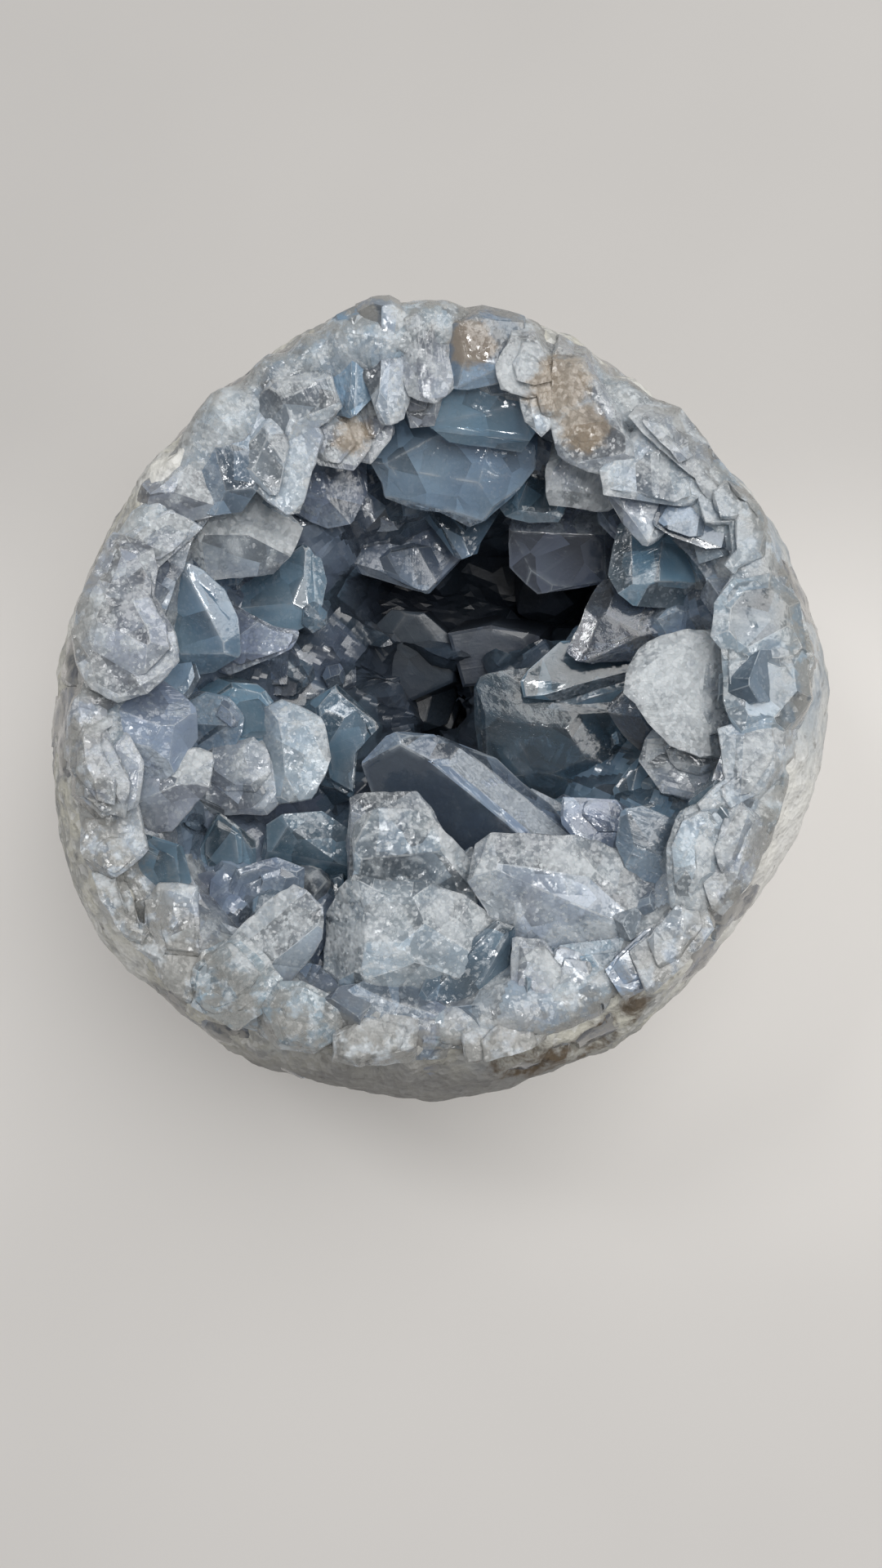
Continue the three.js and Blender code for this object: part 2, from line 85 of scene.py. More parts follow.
OUTSIDE: Profile = (
    (0, -2.2), (15, -2.0), (27, 1.4), (40, 8.6), (50, 18.5), (57, 31.5), (60, 46), (59, 57),
    (55.4, 66), (51.2, 71.6),
)
LIP: Profile = ((48.8, LIP_TOP), (MOUTH, LIP_TOP - 1))
HOLLOW: Profile = (
    (MOUTH, LIP_TOP - 1), (49, 65), (51.4, 56), (51.2, 45), (47.4, 33.5), (39.2, 23.4), (27, 16.6),
    (13, 13.4), (0, 12.8),
)


def scatter(n: float) -> float:
    """Returns a number from 0 to 1 that looks random and is the same each time for the same n."""
    return math.sin(n * 12.9898 + 4.1414) * 43758.5453 % 1


def lumps(point: Vector) -> float:
    """Smooth noise from -1 to 1 at a point, with lumps about one unit across."""
    low = [math.floor(t) for t in point]
    u, v, w = ((t - i) ** 2 * (3 - 2 * (t - i)) for t, i in zip(point, low))

    def corner(a: int, b: int, c: int) -> float:
        """The value at one corner of the point's cell."""
        return scatter((low[0] + a) * 17.13 + (low[1] + b) * 59.71 + (low[2] + c) * 113.37)

    def row(b: int, c: int) -> float:
        """The value along one edge of the cell."""
        return corner(0, b, c) + (corner(1, b, c) - corner(0, b, c)) * u

    near, far = (row(0, c) + (row(1, c) - row(0, c)) * v for c in (0, 1))
    return 2 * (near + (far - near) * w) - 1


@cache
def axes_of(key: float) -> Matrix:
    """Returns the turn of the crystal with this key."""
    return Euler([math.tau * scatter(key + n) for n in (0.1, 0.4, 0.7)]).to_matrix()


def key_of(cell: Vector) -> float:
    """Returns a number that stands for a cell's middle."""
    return cell.x * 3.1 + cell.y * 7.7 + cell.z * 5.3


def intergrown(point: Vector) -> float:
    """The height at a point of blocky crystals grown into one another, each about one unit across."""
    tallest = -2.0
    for cell in noise.voronoi(point)[1]:
        key = key_of(cell)
        away = axes_of(key) @ (point - cell)
        fall = max(abs(away.x) * 0.8, abs(away.y), abs(away.z) * 1.3)
        tallest = max(tallest, 0.5 * scatter(key + 0.2) - fall)
    return tallest + 0.4


def smoothstep(value: float, low: float, high: float) -> float:
    """Returns 0 below low, 1 above high, and a smooth rise between them."""
    t = min(1.0, max(0.0, (value - low) / (high - low)))
    return t * t * (3 - 2 * t)


def rounded(p: float, q: float, r: float, s: float, t: float) -> float:
    """Returns the value at t between q and r on a curve through all four."""
    return q + t * (r - p + t * (2 * p - 5 * q + 4 * r - s + t * (3 * q - p - 3 * r + s))) / 2


def around(entries: Profile) -> Callable[[float], float]:
    """Makes a closed list of (degrees, value) readable at any angle.

    Args:
        entries: The list, in order of its degrees.

    Returns:
        A function of an angle in radians, rounded between the entries.
    """
    start = entries[0][0]

    def read(angle: float) -> float:
        """The value at an angle."""
        degrees = start + (math.degrees(angle) - start) % 360
        i = max(n for n, (turn, _) in enumerate(entries) if turn <= degrees + 1e-9)
        end = entries[i + 1][0] if i + 1 < len(entries) else start + 360
        values = (entries[(i + n) % len(entries)][1] for n in (-1, 0, 1, 2))
        return rounded(*values, (degrees - entries[i][0]) / (end - entries[i][0]))

    return read


outline_at = around(OUTLINE)
mouth_at = around(MOUTH_OUTLINE)
lip_at = around(LIP_HEIGHT)


def settle(point: Vector) -> Vector:
    """Moves a point of a round lathe to the real outline, mouth and lip."""
    angle = math.atan2(point.y, point.x)
    narrowed = smoothstep(point.z, NARROWS_FROM, LIP_TOP - 3)
    lifted = smoothstep(point.z, LIFT_FROM, LIP_TOP)
    wide, mouth = outline_at(angle) / GIRTH, mouth_at(angle) / MOUTH
    stretch = wide + (mouth - wide) * narrowed
    return Vector((point.x * stretch, point.y * stretch, point.z + lifted * (lip_at(angle) - LIP_TOP)))


def smooth(profile: Profile, steps: int) -> list[tuple[float, float]]:
    """Returns a spline through a profile's points, as steps + 1 points."""
    last = len(profile) - 1
    points = []
    for i in range(steps + 1):
        n = min(i * last // steps, last)
        near = [profile[max(0, min(last, n + k))] for k in (-1, 0, 1, 2)]
        t = i * last / steps - n
        points.append(tuple(rounded(*(p[axis] for p in near), t) for axis in (0, 1)))
    return points


def inwards(points: Profile, distance: float) -> list[tuple[float, float]]:
    """Returns a profile moved inwards, to its left as it is walked, and still ending on the axis."""
    moved = []
    for i, (r, z) in enumerate(points[:-1]):
        before, after = Vector(points[max(i - 1, 0)]), Vector(points[i + 1])
        along = (after - before).normalized()
        moved.append((r - abs(along.y) * distance, z - along.x * distance))
    return [*moved, (0, points[-1][1] + distance)]


def lathe(profile: Profile, segments: int, push: Callable[[Vector, int], float]) -> BMesh:
    """Spins a profile about Z, settles it, and moves each of its points outwards.

    Args:
        profile: The profile's (radius, height) points, from axis to axis.
        segments: The steps around.
        push: How far a settled point goes outwards, from the point and its step on the profile.

    Returns:
        The closed shape, in millimetres, with its faces outwards.
    """
    bm = bmesh.new()
    step_of = bm.verts.layers.int.new("step")
    chain = [bm.verts.new((r, 0, z)) for r, z in profile]
    for step, vert in enumerate(chain):
        vert[step_of] = step
    edges = [bm.edges.new(pair) for pair in zip(chain, chain[1:])]
    bmesh.ops.spin(bm, geom=[*chain, *edges], axis=(0, 0, 1), cent=(0, 0, 0), angle=math.tau,
                   steps=segments, use_merge=True)
    bmesh.ops.remove_doubles(bm, verts=bm.verts, dist=1e-4)
    bmesh.ops.dissolve_degenerate(bm, edges=bm.edges, dist=1e-5)
    for vert in bm.verts:
        place = settle(vert.co)
        vert.co = place + (place - MIDDLE).normalized() * push(place, vert[step_of])
    bmesh.ops.recalc_face_normals(bm, faces=bm.faces)
    return bm


# ---------------------------------------------------------------- what a crystal's faces carry

class Mark(Enum):
    """What a face tells the finish about itself."""

    TONE = "tone"  # 0 for lilac grey, 1 for teal
    FROST = "frost"  # 0 for glassy, 1 for white and broken
    WORN_AND_HIGHLIT = "worn_and_highlit"  # 1 on a crystal's worn edges, which are painted pale for wear and as a painted edge highlight
    STRIAE = "striae"  # how strongly growth lines show
    ALONG = "along"  # the crystal's length, as a direction
    PAINTED_SHADE = "shade"  # painted light and shade: how light the face is beside the crystal's other faces
    PAINTED_GLOW = "rim"  # kept on the corners: 1 at a face's border, 0 further in; it weights a painted pale glow along the border


@dataclass(frozen=True)
class Look:
    """What one crystal's faces are marked with."""

    tone: float = 0.5
    frost: float = 0.3
    striae: float = 0.25
    vary: float = 1.0  # how much its faces differ
    shade: float = 0.55  # how light they are on the whole, as painted light and shade

    def mark(self, bm: BMesh, along: Vector, seed: float = 0.0) -> None:
        """Writes the look on every face, with the crystal's length.

        Args:
            bm: The crystal.
            along: Its length, as a direction.
            seed: Makes some of its faces more frosted than others.
        """
        layers = bm.faces.layers
        kinds = (Mark.TONE, Mark.FROST, Mark.STRIAE, Mark.PAINTED_SHADE, Mark.WORN_AND_HIGHLIT)
        tone, frost, striae, shade, _ = (layers.float.new(kind.value) for kind in kinds)
        line = layers.float_vector.new(Mark.ALONG.value)
        bm.faces.index_update()
        for one in bm.faces:
            one[tone], one[striae], one[line] = self.tone, self.striae, along
            one[frost] = self.frost + 0.45 * self.vary * (scatter(seed * 13.7 + one.index * 1.93) - 0.5)
            # Painted light and shade: each face gets a lightness of its own, standing in for how it catches the light
            one[shade] = self.shade + self.vary * (scatter(seed * 5.3 + one.index * 3.17) - self.shade)


def cut(bm: BMesh, normal: Vector, at: float) -> None:
    """Cuts away what lies beyond a plane, and closes the cut with a face."""
    if max(normal.dot(v.co) for v in bm.verts) <= at + 1e-4:
        return
    geom = [*bm.verts, *bm.edges, *bm.faces]
    made = bmesh.ops.bisect_plane(bm, geom=geom, dist=1e-4, plane_co=normal * at, plane_no=normal,
                                  clear_outer=True)
    rim = [e for e in made["geom_cut"] if isinstance(e, bmesh.types.BMEdge)]
    if rim:
        bmesh.ops.holes_fill(bm, edges=rim, sides=0)


def block(planes: Sequence[tuple[Vector, float]], size: float) -> BMesh:
    """Cuts a block down to the space behind a set of (normal, distance) planes."""
    bm = bmesh.new()
    bmesh.ops.create_cube(bm, size=size)
    for normal, at in planes:
        cut(bm, normal, at)
    return bm


def wear(bm: BMesh, width: float, rim: float = 0.0) -> None:
    """Rubs every edge down to a narrow face, and marks those faces and the borders beside them: the finish paints the
    narrow faces pale, for wear and as a painted highlight, and lays a painted pale glow along the borders.

    Args:
        bm: The crystal, with its look on its faces.
        width: How wide the rubbed faces are.
        rim: How far the painted pale glow of a border reaches into the face beside it.
    """
    made = bmesh.ops.bevel(bm, geom=bm.edges[:], offset=width, offset_type="OFFSET", segments=1,
                           profile=0.5, affect="EDGES", clamp_overlap=True, material=-1)
    worn_and_highlit = bm.faces.layers.float[Mark.WORN_AND_HIGHLIT.value]
    painted_glow_border = bm.loops.layers.float.new(Mark.PAINTED_GLOW.value)
    for one in made["faces"]:
        one[worn_and_highlit] = 1.0
        for loop in one.loops:
            loop[painted_glow_border] = 1.0
    if not rim:
        return
    for one in [one for one in bm.faces if not one[worn_and_highlit] and one.calc_area() > rim]:
        outer = set(one.verts)
        reach = min(rim, 0.9 * one.calc_area() / one.calc_perimeter())
        made = bmesh.ops.inset_individual(bm, faces=[one], thickness=reach, use_even_offset=False)
        for strip in made["faces"]:
            for loop in strip.loops:
                loop[painted_glow_border] = 1.0 if loop.vert in outer else 0.0


# ---------------------------------------------------------------- crystals

# Angles between a celestite crystal's faces come from its cell, in angstrom.
CELL = Vector((8.359, 5.352, 6.866))
STUBBY_BELOW = 9.5  # crystals narrower than this have only four sides


def face(h: int, k: int, l: float) -> Vector:
    """Returns the outward direction of crystal face (h k l), the prism's length along X."""
    return Vector((h / CELL.x, k / CELL.y, l / CELL.z)).normalized()


class Clarity(Enum):
    """How clear a crystal is. Those of one clarity are joined into one body."""

    CLEAR = "clear"
    HAZY = "hazy"
    FROSTY = "frosty"
    DRUSE = "small"


@dataclass(frozen=True)
class Crystal:
    """One crystal, from its root in the lining to its tip."""

    root: Place
    tip: Place
    wide: float
    thick: float
    roll: float = 0.0
    blunt: float = 0.0
    clarity: Clarity = Clarity.HAZY
    look: Look = Look()
    layers: int = 2  # crystals grown in line with it, which step its faces
    chips: int = 3  # corners broken off
    edge: float = 0.13  # width of its worn edges
    stubby: Optional[bool] = None
    rim: float = 0.0  # how far a face's painted pale glow border reaches

    def planes(self, seed: int) -> list[tuple[Vector, float]]:
        """Returns its faces as planes, with the root at the origin and the length along X."""
        length = (Vector(self.tip) - Vector(self.root)).length
        stubby = self.wide < STUBBY_BELOW if self.stubby is None else self.stubby

        def uneven(n: int, share: float) -> float:
            """A factor near 1 that differs from face to face."""
            return 1 + share * (scatter(seed * 31 + n) - 0.5)

        end = Vector((1, 0.12 * uneven(15, 2), 0.1 * uneven(16, 2))).normalized()
        planes = [(Vector((-1, 0, 0)), 0.0), (end, length - self.blunt)]
        for side in (1, -1):
            planes.append((face(0, 0, side), self.thick / 2 * uneven(side + 2, 0.25)))
            cheek = face(2, side, 0)
            planes.append((cheek, cheek.x * length * uneven(side + 9, 0.05)))
            if stubby:
                slope = face(0, side, 0.25 * uneven(side + 7, 3))
                planes.append((slope, self.wide / 2 * uneven(side + 5, 0.2)))
                continue
            brow = face(1, 0, side)
            reach = brow.x * length + abs(brow.z) * (self.thick / 4) * uneven(side + 12, 0.8)
            planes.append((brow, reach))
            for up in (1, -1):
                slope = face(0, side, up)
                reach = slope.y * side * (self.wide / 2) * uneven(side * 2 + up + 5, 0.2)
                planes.append((slope, reach))
        return planes

    def stand(self) -> Matrix:
        """Returns the turn and place that stand it between its root and its tip."""
        along = (Vector(self.tip) - Vector(self.root)).normalized()
        across = Vector((0, 0, 1)).cross(along).normalized()
        basis = Matrix((along, across, along.cross(across))).transposed().to_4x4()
        return Matrix.Translation(self.root) @ basis @ Matrix.Rotation(math.radians(self.roll), 4, "X")

    def grow(self, seed: int) -> list[bpy.types.Mesh]:
        """Cuts the crystal and the layers grown in line with it.

        Args:
            seed: Makes it differ from the others.

        Returns:
            Closed meshes that overlap, in millimetres, in place.
        """
        stand = self.stand()
        size = 3 * (Vector(self.tip) - Vector(self.root)).length + 3 * self.wide
        made = []
        for layer in range(self.layers + 1):
            def vary(n: int, least: float, most: float) -> float:
                """A number that differs from layer to layer."""
                return least + (most - least) * scatter(seed * 57.3 + layer * 9.7 + n)

            planes = self.planes(seed)
            if layer:
                shrink, shorten = vary(1, 0.5, 0.8), vary(2, 0.55, 0.93)
                shift = Vector((0, vary(3, -0.28, 0.28) * self.wide, vary(4, -0.3, 0.3) * self.thick))
                planes = [
                    (n, at * (shorten if n.x > 0.3 else shrink) + n.dot(shift)) for n, at in planes
                ]
            bm = block(planes, size)
            if not bm.faces:
                bm.free()
                continue
            for chip in range(self.chips):
                aim = Vector((vary(10 + chip, 0.2, 1.0), vary(20 + chip, -1, 1), vary(30 + chip, -1, 1)))
                aim.normalize()
                reach = max(aim.dot(v.co) for v in bm.verts)
                cut(bm, aim, reach - vary(40 + chip, 0.03, 0.13) * self.wide)
            self.look.mark(bm, stand.to_3x3() @ Vector((1, 0, 0)), seed + layer * 0.37)
            wear(bm, self.edge, self.rim)
            bmesh.ops.transform(bm, matrix=stand, verts=bm.verts)
            made.append(mesh_of(bm))
        return made


# ---------------------------------------------------------------- large crystals and broken blocks

PICTURE = Vector((1080, 1920))  # the camera's picture, in pixels
EYE: Place = (0.63, -31.92, 235.68)
LEAN = math.radians(6)
LENS, SENSOR = 28.0, 36.0


def sighted(pixel: tuple[float, float], plane_at: Vector, plane_normal: Vector) -> Vector:
    """Returns the place on a plane that the camera shows at a pixel."""
    across, down = (Vector(pixel) - PICTURE / 2) / (LENS / SENSOR * PICTURE.y)
    line = Matrix.Rotation(LEAN, 3, "X") @ Vector((across, -down, -1))
    start = Vector(EYE)
    return start + line * (plane_normal.dot(plane_at - start) / plane_normal.dot(line))


@dataclass(frozen=True)
class Facet:
    """A face that falls away from a line across a crystal's top. Its places are pixels of the picture."""

    start: tuple[float, float]
    end: tuple[float, float]
    towards: tuple[float, float]  # a place on the side that falls
    fall: float  # how steeply it falls from the top, as a slope
    frost: float = 0.3
    striae: float = 0.0
    shade: Optional[float] = None  # the face's painted light and shade, left to chance where none is given

    def plane(self, middle: Vector, top: Vector) -> tuple[Vector, float]:
        """Returns its plane, from a point on the crystal's top and the top's upward direction."""
        start, end, side = (sighted(p, middle, top) for p in (self.start, self.end, self.towards))
        line = (end - start).normalized()
        away = (side - start) - line * line.dot(side - start)
        normal = (top + away.normalized() * self.fall).normalized()
        return normal, normal.dot(start)


@dataclass(frozen=True)
class Mass:
    """One large crystal or broken block, shaped by its outline in the camera's picture.

    Its top lies on a plane, which stands at height over the outline's middle and rises by slope along
    X and Y. From there the body narrows to its foot in the wall. Its faces are given, or broken out at
    random where none are.
    """

    outline: Sequence[tuple[float, float]]
    height: float
    slope: tuple[float, float]
    foot: Place
    clarity: Clarity
    look: Look
    crown: float = 0.12  # how far the middle of its top stands above the outline
    inset: float = 0.3  # the width of the slope round its top
    broken: int = 2  # large faces broken out at random
    terraces: int = 1
    chips: int = 2
    faces: Sequence[Facet] = ()
    edge: float = 0.12
    # rim: how far the painted pale glow reaches in from the border of each face
    rim: float = 1.0
    narrow: float = 1.05
    spread: float = 1.7  # how far it reaches past its outline, into its neighbours

    def top(self) -> tuple[list[Vector], Vector, Vector]:
        """Returns the outline on its plane, the outline's middle, and the plane's upward direction."""
        normal = Vector((-self.slope[0], -self.slope[1], 1)).normalized()
        middle = sum((Vector(p) for p in self.outline), Vector((0, 0))) / len(self.outline)
        level = Vector((0, 0, 1))
        centre = sighted(middle, level * self.height, level)
        outline = [sighted(p, centre, normal) for p in self.outline]
        return [p + (p - centre).normalized() * self.spread for p in outline], centre, normal

    def body(self, outline: Sequence[Vector], normal: Vector) -> BMesh:
        """Raises a closed body from the foot to an outline."""
        bm = bmesh.new()
        bottom = [bm.verts.new(p) for p in outline]
        bmesh.ops.extrude_face_region(bm, geom=[bm.faces.new(bottom)])
        middle = sum(outline, Vector()) / len(outline)
        for vert in bottom:
            vert.co = Vector(self.foot) + (vert.co - middle) * self.narrow
        bmesh.ops.recalc_face_normals(bm, faces=bm.faces)
        top = max(bm.faces, key=lambda one: one.normal.dot(normal) * one.calc_area())
        bmesh.ops.inset_region(bm, faces=[top], thickness=self.inset, depth=self.crown,
                               use_even_offset=True)
        return bm

    def grow(self, seed: int) -> list[bpy.types.Mesh]:
        """Shapes the body and the terraces on it, with their faces and broken corners.

        Args:
            seed: Makes it differ from the others.

        Returns:
            Closed meshes that overlap, in millimetres, in place.
        """
        outline, middle, normal = self.top()
        size = max((p - middle).length for p in outline)
        along = (Vector(self.foot) - middle).cross(normal).cross(normal).normalized()
        given = [(one, *one.plane(middle + normal * self.crown, normal)) for one in self.faces]
        made = []
        for terrace in range(1 if given else self.terraces + 1):
            def vary(n: int, least: float, most: float) -> float:
                """A number that differs from terrace to terrace."""
                return least + (most - least) * scatter(seed * 41.7 + terrace * 11.3 + n)

            edge = outline
            if terrace:
                pivot = outline[int(vary(1, 0, len(outline) - 0.01))]
                share, lift = vary(2, 0.5, 0.8), normal * vary(3, 0.35, 0.06 * size + 0.5)
                edge = [pivot.lerp(middle, 0.12) + (p - pivot) * share + lift for p in outline]
            bm = self.body(edge, normal)
            for _, aim, at in given:
                cut(bm, aim, at)
            cuts = [(0.25, 0.75, 0.01, 0.09)] * (0 if given else self.broken)
            cuts += [(0.1, 0.35, 0.01, 0.05)] * 3 + [(0.7, 2.4, 0.01, 0.05)] * self.chips
            for n, (least, most, shallow, deep) in enumerate(cuts):
                turn = vary(10 + n, 0, math.tau)
                aim = normal + vary(20 + n, least, most) * Vector((math.cos(turn), math.sin(turn), 0))
                aim.normalize()
                reach = max(aim.dot(v.co) for v in bm.verts)
                cut(bm, aim, reach - vary(30 + n, shallow, deep) * size)
            self.look.mark(bm, along, seed + terrace * 0.37)
            self.mark_faces(bm, given)
            wear(bm, self.edge, 0.0 if self.clarity is Clarity.FROSTY else self.rim)
            made.append(mesh_of(bm))
        return made

    def mark_faces(self, bm: BMesh, given: Sequence[tuple[Facet, Vector, float]]) -> None:
        """Marks the given faces with their own frost, growth lines and painted light and shade."""
        bm.normal_update()
        kinds = (Mark.FROST, Mark.STRIAE, Mark.PAINTED_SHADE)
        frost, striae, shade = (bm.faces.layers.float[kind.value] for kind in kinds)
        for one in bm.faces:
            for facet, aim, _ in given:
                if one.normal.dot(aim) > 0.9999:
                    one[frost], one[striae] = facet.frost, facet.striae
                    one[shade] = one[shade] if facet.shade is None else facet.shade


# ---------------------------------------------------------------- joining

def mesh_of(bm: BMesh) -> bpy.types.Mesh:
    """Turns a bmesh into a mesh, and frees it."""
    mesh = bpy.data.meshes.new("part")
    bm.to_mesh(mesh)
    bm.free()
    return mesh


def combine(first: bpy.types.Mesh, second: bpy.types.Mesh, how: str) -> bpy.types.Mesh:
    """Joins two closed meshes, or keeps what they share, and returns the result as one mesh.

    Args:
        first: A closed mesh.
        second: Another.
        how: UNION, INTERSECT or DIFFERENCE.

    Returns:
        The combined mesh, with the marks on its faces kept.
    """
    pair = [bpy.data.objects.new("part", mesh) for mesh in (first, second)]
    for one in pair:
        bpy.context.scene.collection.objects.link(one)
    modifier = pair[0].modifiers.new("combine", "BOOLEAN")
    modifier.operation = how
    modifier.solver = "MANIFOLD"
    modifier.object = pair[1]
    shown = pair[0].evaluated_get(bpy.context.evaluated_depsgraph_get())
    mesh = bpy.data.meshes.new_from_object(shown)
    for one in pair:
        old = one.data
        bpy.data.objects.remove(one)
        bpy.data.meshes.remove(old)
    return mesh


def fuse(meshes: list[bpy.types.Mesh]) -> bpy.types.Mesh:
    """Joins closed meshes pair by pair into one."""
    while len(meshes) > 1:
        odd = meshes[-1:] if len(meshes) % 2 else []
        meshes = [combine(a, b, "UNION") for a, b in zip(meshes[::2], meshes[1::2])] + odd
    return meshes[0]


@dataclass(frozen=True)
class Relief:
    """How uneven a crystal's faces are. Waves and breaks are (size, height) pairs."""

    longest: float  # edges longer than this are divided
    waves: Profile
    breaks: Profile = ()
    shown_above: float = 48.0  # only what stands higher is broken

    def shown(self, edge: bmesh.types.BMEdge) -> bool:
        """Tells whether an edge can be seen from above."""
        high = all(vert.co.z > self.shown_above for vert in edge.verts)
        return high and any(one.normal.z > -0.1 for one in edge.link_faces)

    def press(self, bm: BMesh) -> None:
        """Divides long edges, bends the surface by smooth noise and breaks it into small faces."""
        for _ in range(7):
            bmesh.ops.triangulate(bm, faces=[f for f in bm.faces if len(f.verts) > 3])
            edges = [
                e for e in bm.edges
                if e.calc_length() > (self.longest if self.shown(e) else 4 + self.longest)
            ]
            if not edges:
                break
            bmesh.ops.subdivide_edges(bm, edges=edges, cuts=1)
        bm.normal_update()
        for vert in bm.verts:
            bend = sum((noise.noise_vector(vert.co / size) * high for size, high in self.waves), Vector())
            if self.breaks and vert.co.z > self.shown_above and vert.normal.z > -0.1:
                out = sum(high * (intergrown(vert.co / size) - 0.15) for size, high in self.breaks)
                bend += vert.normal * out
            vert.co += bend


def finish_piece(bm: BMesh, name: str, material: bpy.types.Material, node: str,
                 crease: float = 13.0) -> bpy.types.Object:
    """Turns a shape in millimetres into a finished piece that rides on the stone's body.

    Args:
        bm: The shape, which is freed.
        name: The piece's name.
        material: Its finish.
        node: The solid that the piece stands for.
        crease: Edges that turn more than this many degrees stay sharp.

    Returns:
        The piece.
    """
    bmesh.ops.scale(bm, vec=(MM, MM, MM), verts=bm.verts)
    for one in bm.faces:
        one.smooth = True
    for edge in bm.edges:
        edge.smooth = edge.is_manifold and edge.calc_face_angle(0) < math.radians(crease)
    mesh = mesh_of(bm)
    mesh.name = name
    mesh.materials.clear()
    mesh.materials.append(material)
    piece = bpy.data.objects.new(name, mesh)
    bpy.context.scene.collection.objects.link(piece)
    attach(piece, "root")
    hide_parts(node)
    log.info("%s: %d vertices, %d faces", name, len(mesh.vertices), len(mesh.polygons))
    return piece


# ---------------------------------------------------------------- nodes

Value = object  # a socket to link, or a value to set


class Tree:
    """Places and links the nodes of one material or group."""

    def __init__(self, tree: bpy.types.NodeTree) -> None:
        """Starts from an empty tree."""
        self.tree = tree
        tree.nodes.clear()

    def add(self, kind: str, inputs: dict, **settings: object) -> bpy.types.Node:
        """Adds a node.

        Args:
            kind: The node's type, without ShaderNode.
            inputs: Its inputs by name or place, each a socket to link or a value to set.
            **settings: Its own settings.

        Returns:
            The node.
        """
        node = self.tree.nodes.new("ShaderNode" + kind)
        for name, value in settings.items():
            setattr(node, name, value)
        for name, value in inputs.items():
            socket = node.inputs[name]
            if isinstance(value, bpy.types.NodeSocket):
                self.tree.links.new(value, socket)
            else:
                socket.default_value = value
        return node

    def sum(self, how: str, a: Value, b: Value = 0.0, c: Value = 0.0, clamp: bool = False):
        """Returns the result of a Math node."""
        return self.add("Math", {0: a, 1: b, 2: c}, operation=how, use_clamp=clamp).outputs[0]

    def blend(self, amount: Value, a: Value, b: Value, how: str = "MIX"):
        """Returns a mix of two colours."""
        return self.add("Mix", {0: amount, 6: a, 7: b}, data_type="RGBA", blend_type=how).outputs[2]

    def between(self, amount: Value, a: Value, b: Value):
        """Returns a mix of two numbers."""
        return self.add("Mix", {0: amount, 2: a, 3: b}, data_type="FLOAT").outputs[0]

    def rise(self, value: Value, low: Value, high: Value, to: float = 1.0):
        """Returns 0 below low, and a smooth rise to its most above high."""
        inputs = {0: value, 1: low, 2: high, 3: 0.0, 4: to}
        return self.add("MapRange", inputs, interpolation_type="SMOOTHSTEP").outputs[0]

    def noise(self, where: Value, scale: Value, detail: float = 4.0, rough: float = 0.5, bend: float = 0.0):
        """Returns noise from 0 to 1."""
        inputs = {"Vector": where, "Scale": scale, "Detail": detail, "Roughness": rough, "Distortion": bend}
        return self.add("TexNoise", inputs).outputs[0]

    def place(self):
        """Returns the point on the piece, in metres."""
        return self.add("TexCoord", {}).outputs["Object"]

    def mark(self, kind: Mark, output: str = "Fac"):
        """Returns what a face is marked with."""
        return self.add("Attribute", {}, attribute_name=kind.value).outputs[output]


class Effect:
    """A node group that several finishes share."""

    def __init__(self, name: str, inputs: dict[str, float], outputs: Sequence[str]) -> None:
        """Makes the group with its named inputs and outputs.

        Args:
            name: The group's name.
            inputs: Its numbers and what each starts at.
            outputs: Its outputs, all masks or heights.
        """
        self.group = bpy.data.node_groups.new(name, "ShaderNodeTree")
        self.nodes = Tree(self.group)
        for socket, value in inputs.items():
            made = self.group.interface.new_socket(socket, in_out="INPUT", socket_type="NodeSocketFloat")
            made.default_value = value
        for socket in outputs:
            self.group.interface.new_socket(socket, in_out="OUTPUT", socket_type="NodeSocketFloat")
        self.given = self.nodes.tree.nodes.new("NodeGroupInput").outputs
        self.wanted = self.nodes.tree.nodes.new("NodeGroupOutput").inputs

    def give(self, **results: bpy.types.NodeSocket) -> None:
        """Links the group's results to its outputs."""
        for name, socket in results.items():
            self.nodes.tree.links.new(socket, self.wanted[name])

    def use(self, tree: Tree, **inputs: Value) -> bpy.types.NodeOutputs:
        """Places the group in a material with values of its own, and returns its outputs."""
        node = tree.add("Group", {}, node_tree=self.group)
        for name, value in inputs.items():
            if isinstance(value, bpy.types.NodeSocket):
                tree.tree.links.new(value, node.inputs[name])
            else:
                node.inputs[name].default_value = value
        return node.outputs


def veils_effect() -> Effect:
    """Milky wisps inside a crystal, in cloudy bands."""
    effect = Effect("veils", {"Scale": 150.0, "Amount": 0.5}, ["Mask"])
    t, given = effect.nodes, effect.given
    wisps = t.noise(t.place(), given["Scale"], 4.0, 0.5, 1.6)
    edge = t.sum("SUBTRACT", 0.74, t.sum("MULTIPLY", given["Amount"], 0.34))
    effect.give(Mask=t.rise(wisps, edge, t.sum("ADD", edge, 0.2)))
    return effect


def grains_effect() -> Effect:
    """Sugary grains, as shades and heights of small cells."""
    effect = Effect("grains", {"Scale": 900.0}, ["Shade", "Height"])
    t, given = effect.nodes, effect.given
    where = t.place()
    cells = t.add("TexVoronoi", {"Vector": where, "Scale": given["Scale"], "Randomness": 1.0})
    shade = t.add("SeparateColor", {0: cells.outputs["Color"]}).outputs[0]
    fine = t.noise(where, t.sum("MULTIPLY", given["Scale"], 1.7), 3.0, 0.6)
    height = t.sum("ADD", t.sum("MULTIPLY", cells.outputs["Distance"], 0.8), t.sum("MULTIPLY", fine, 0.5))
    effect.give(Shade=shade, Height=height)
    return effect


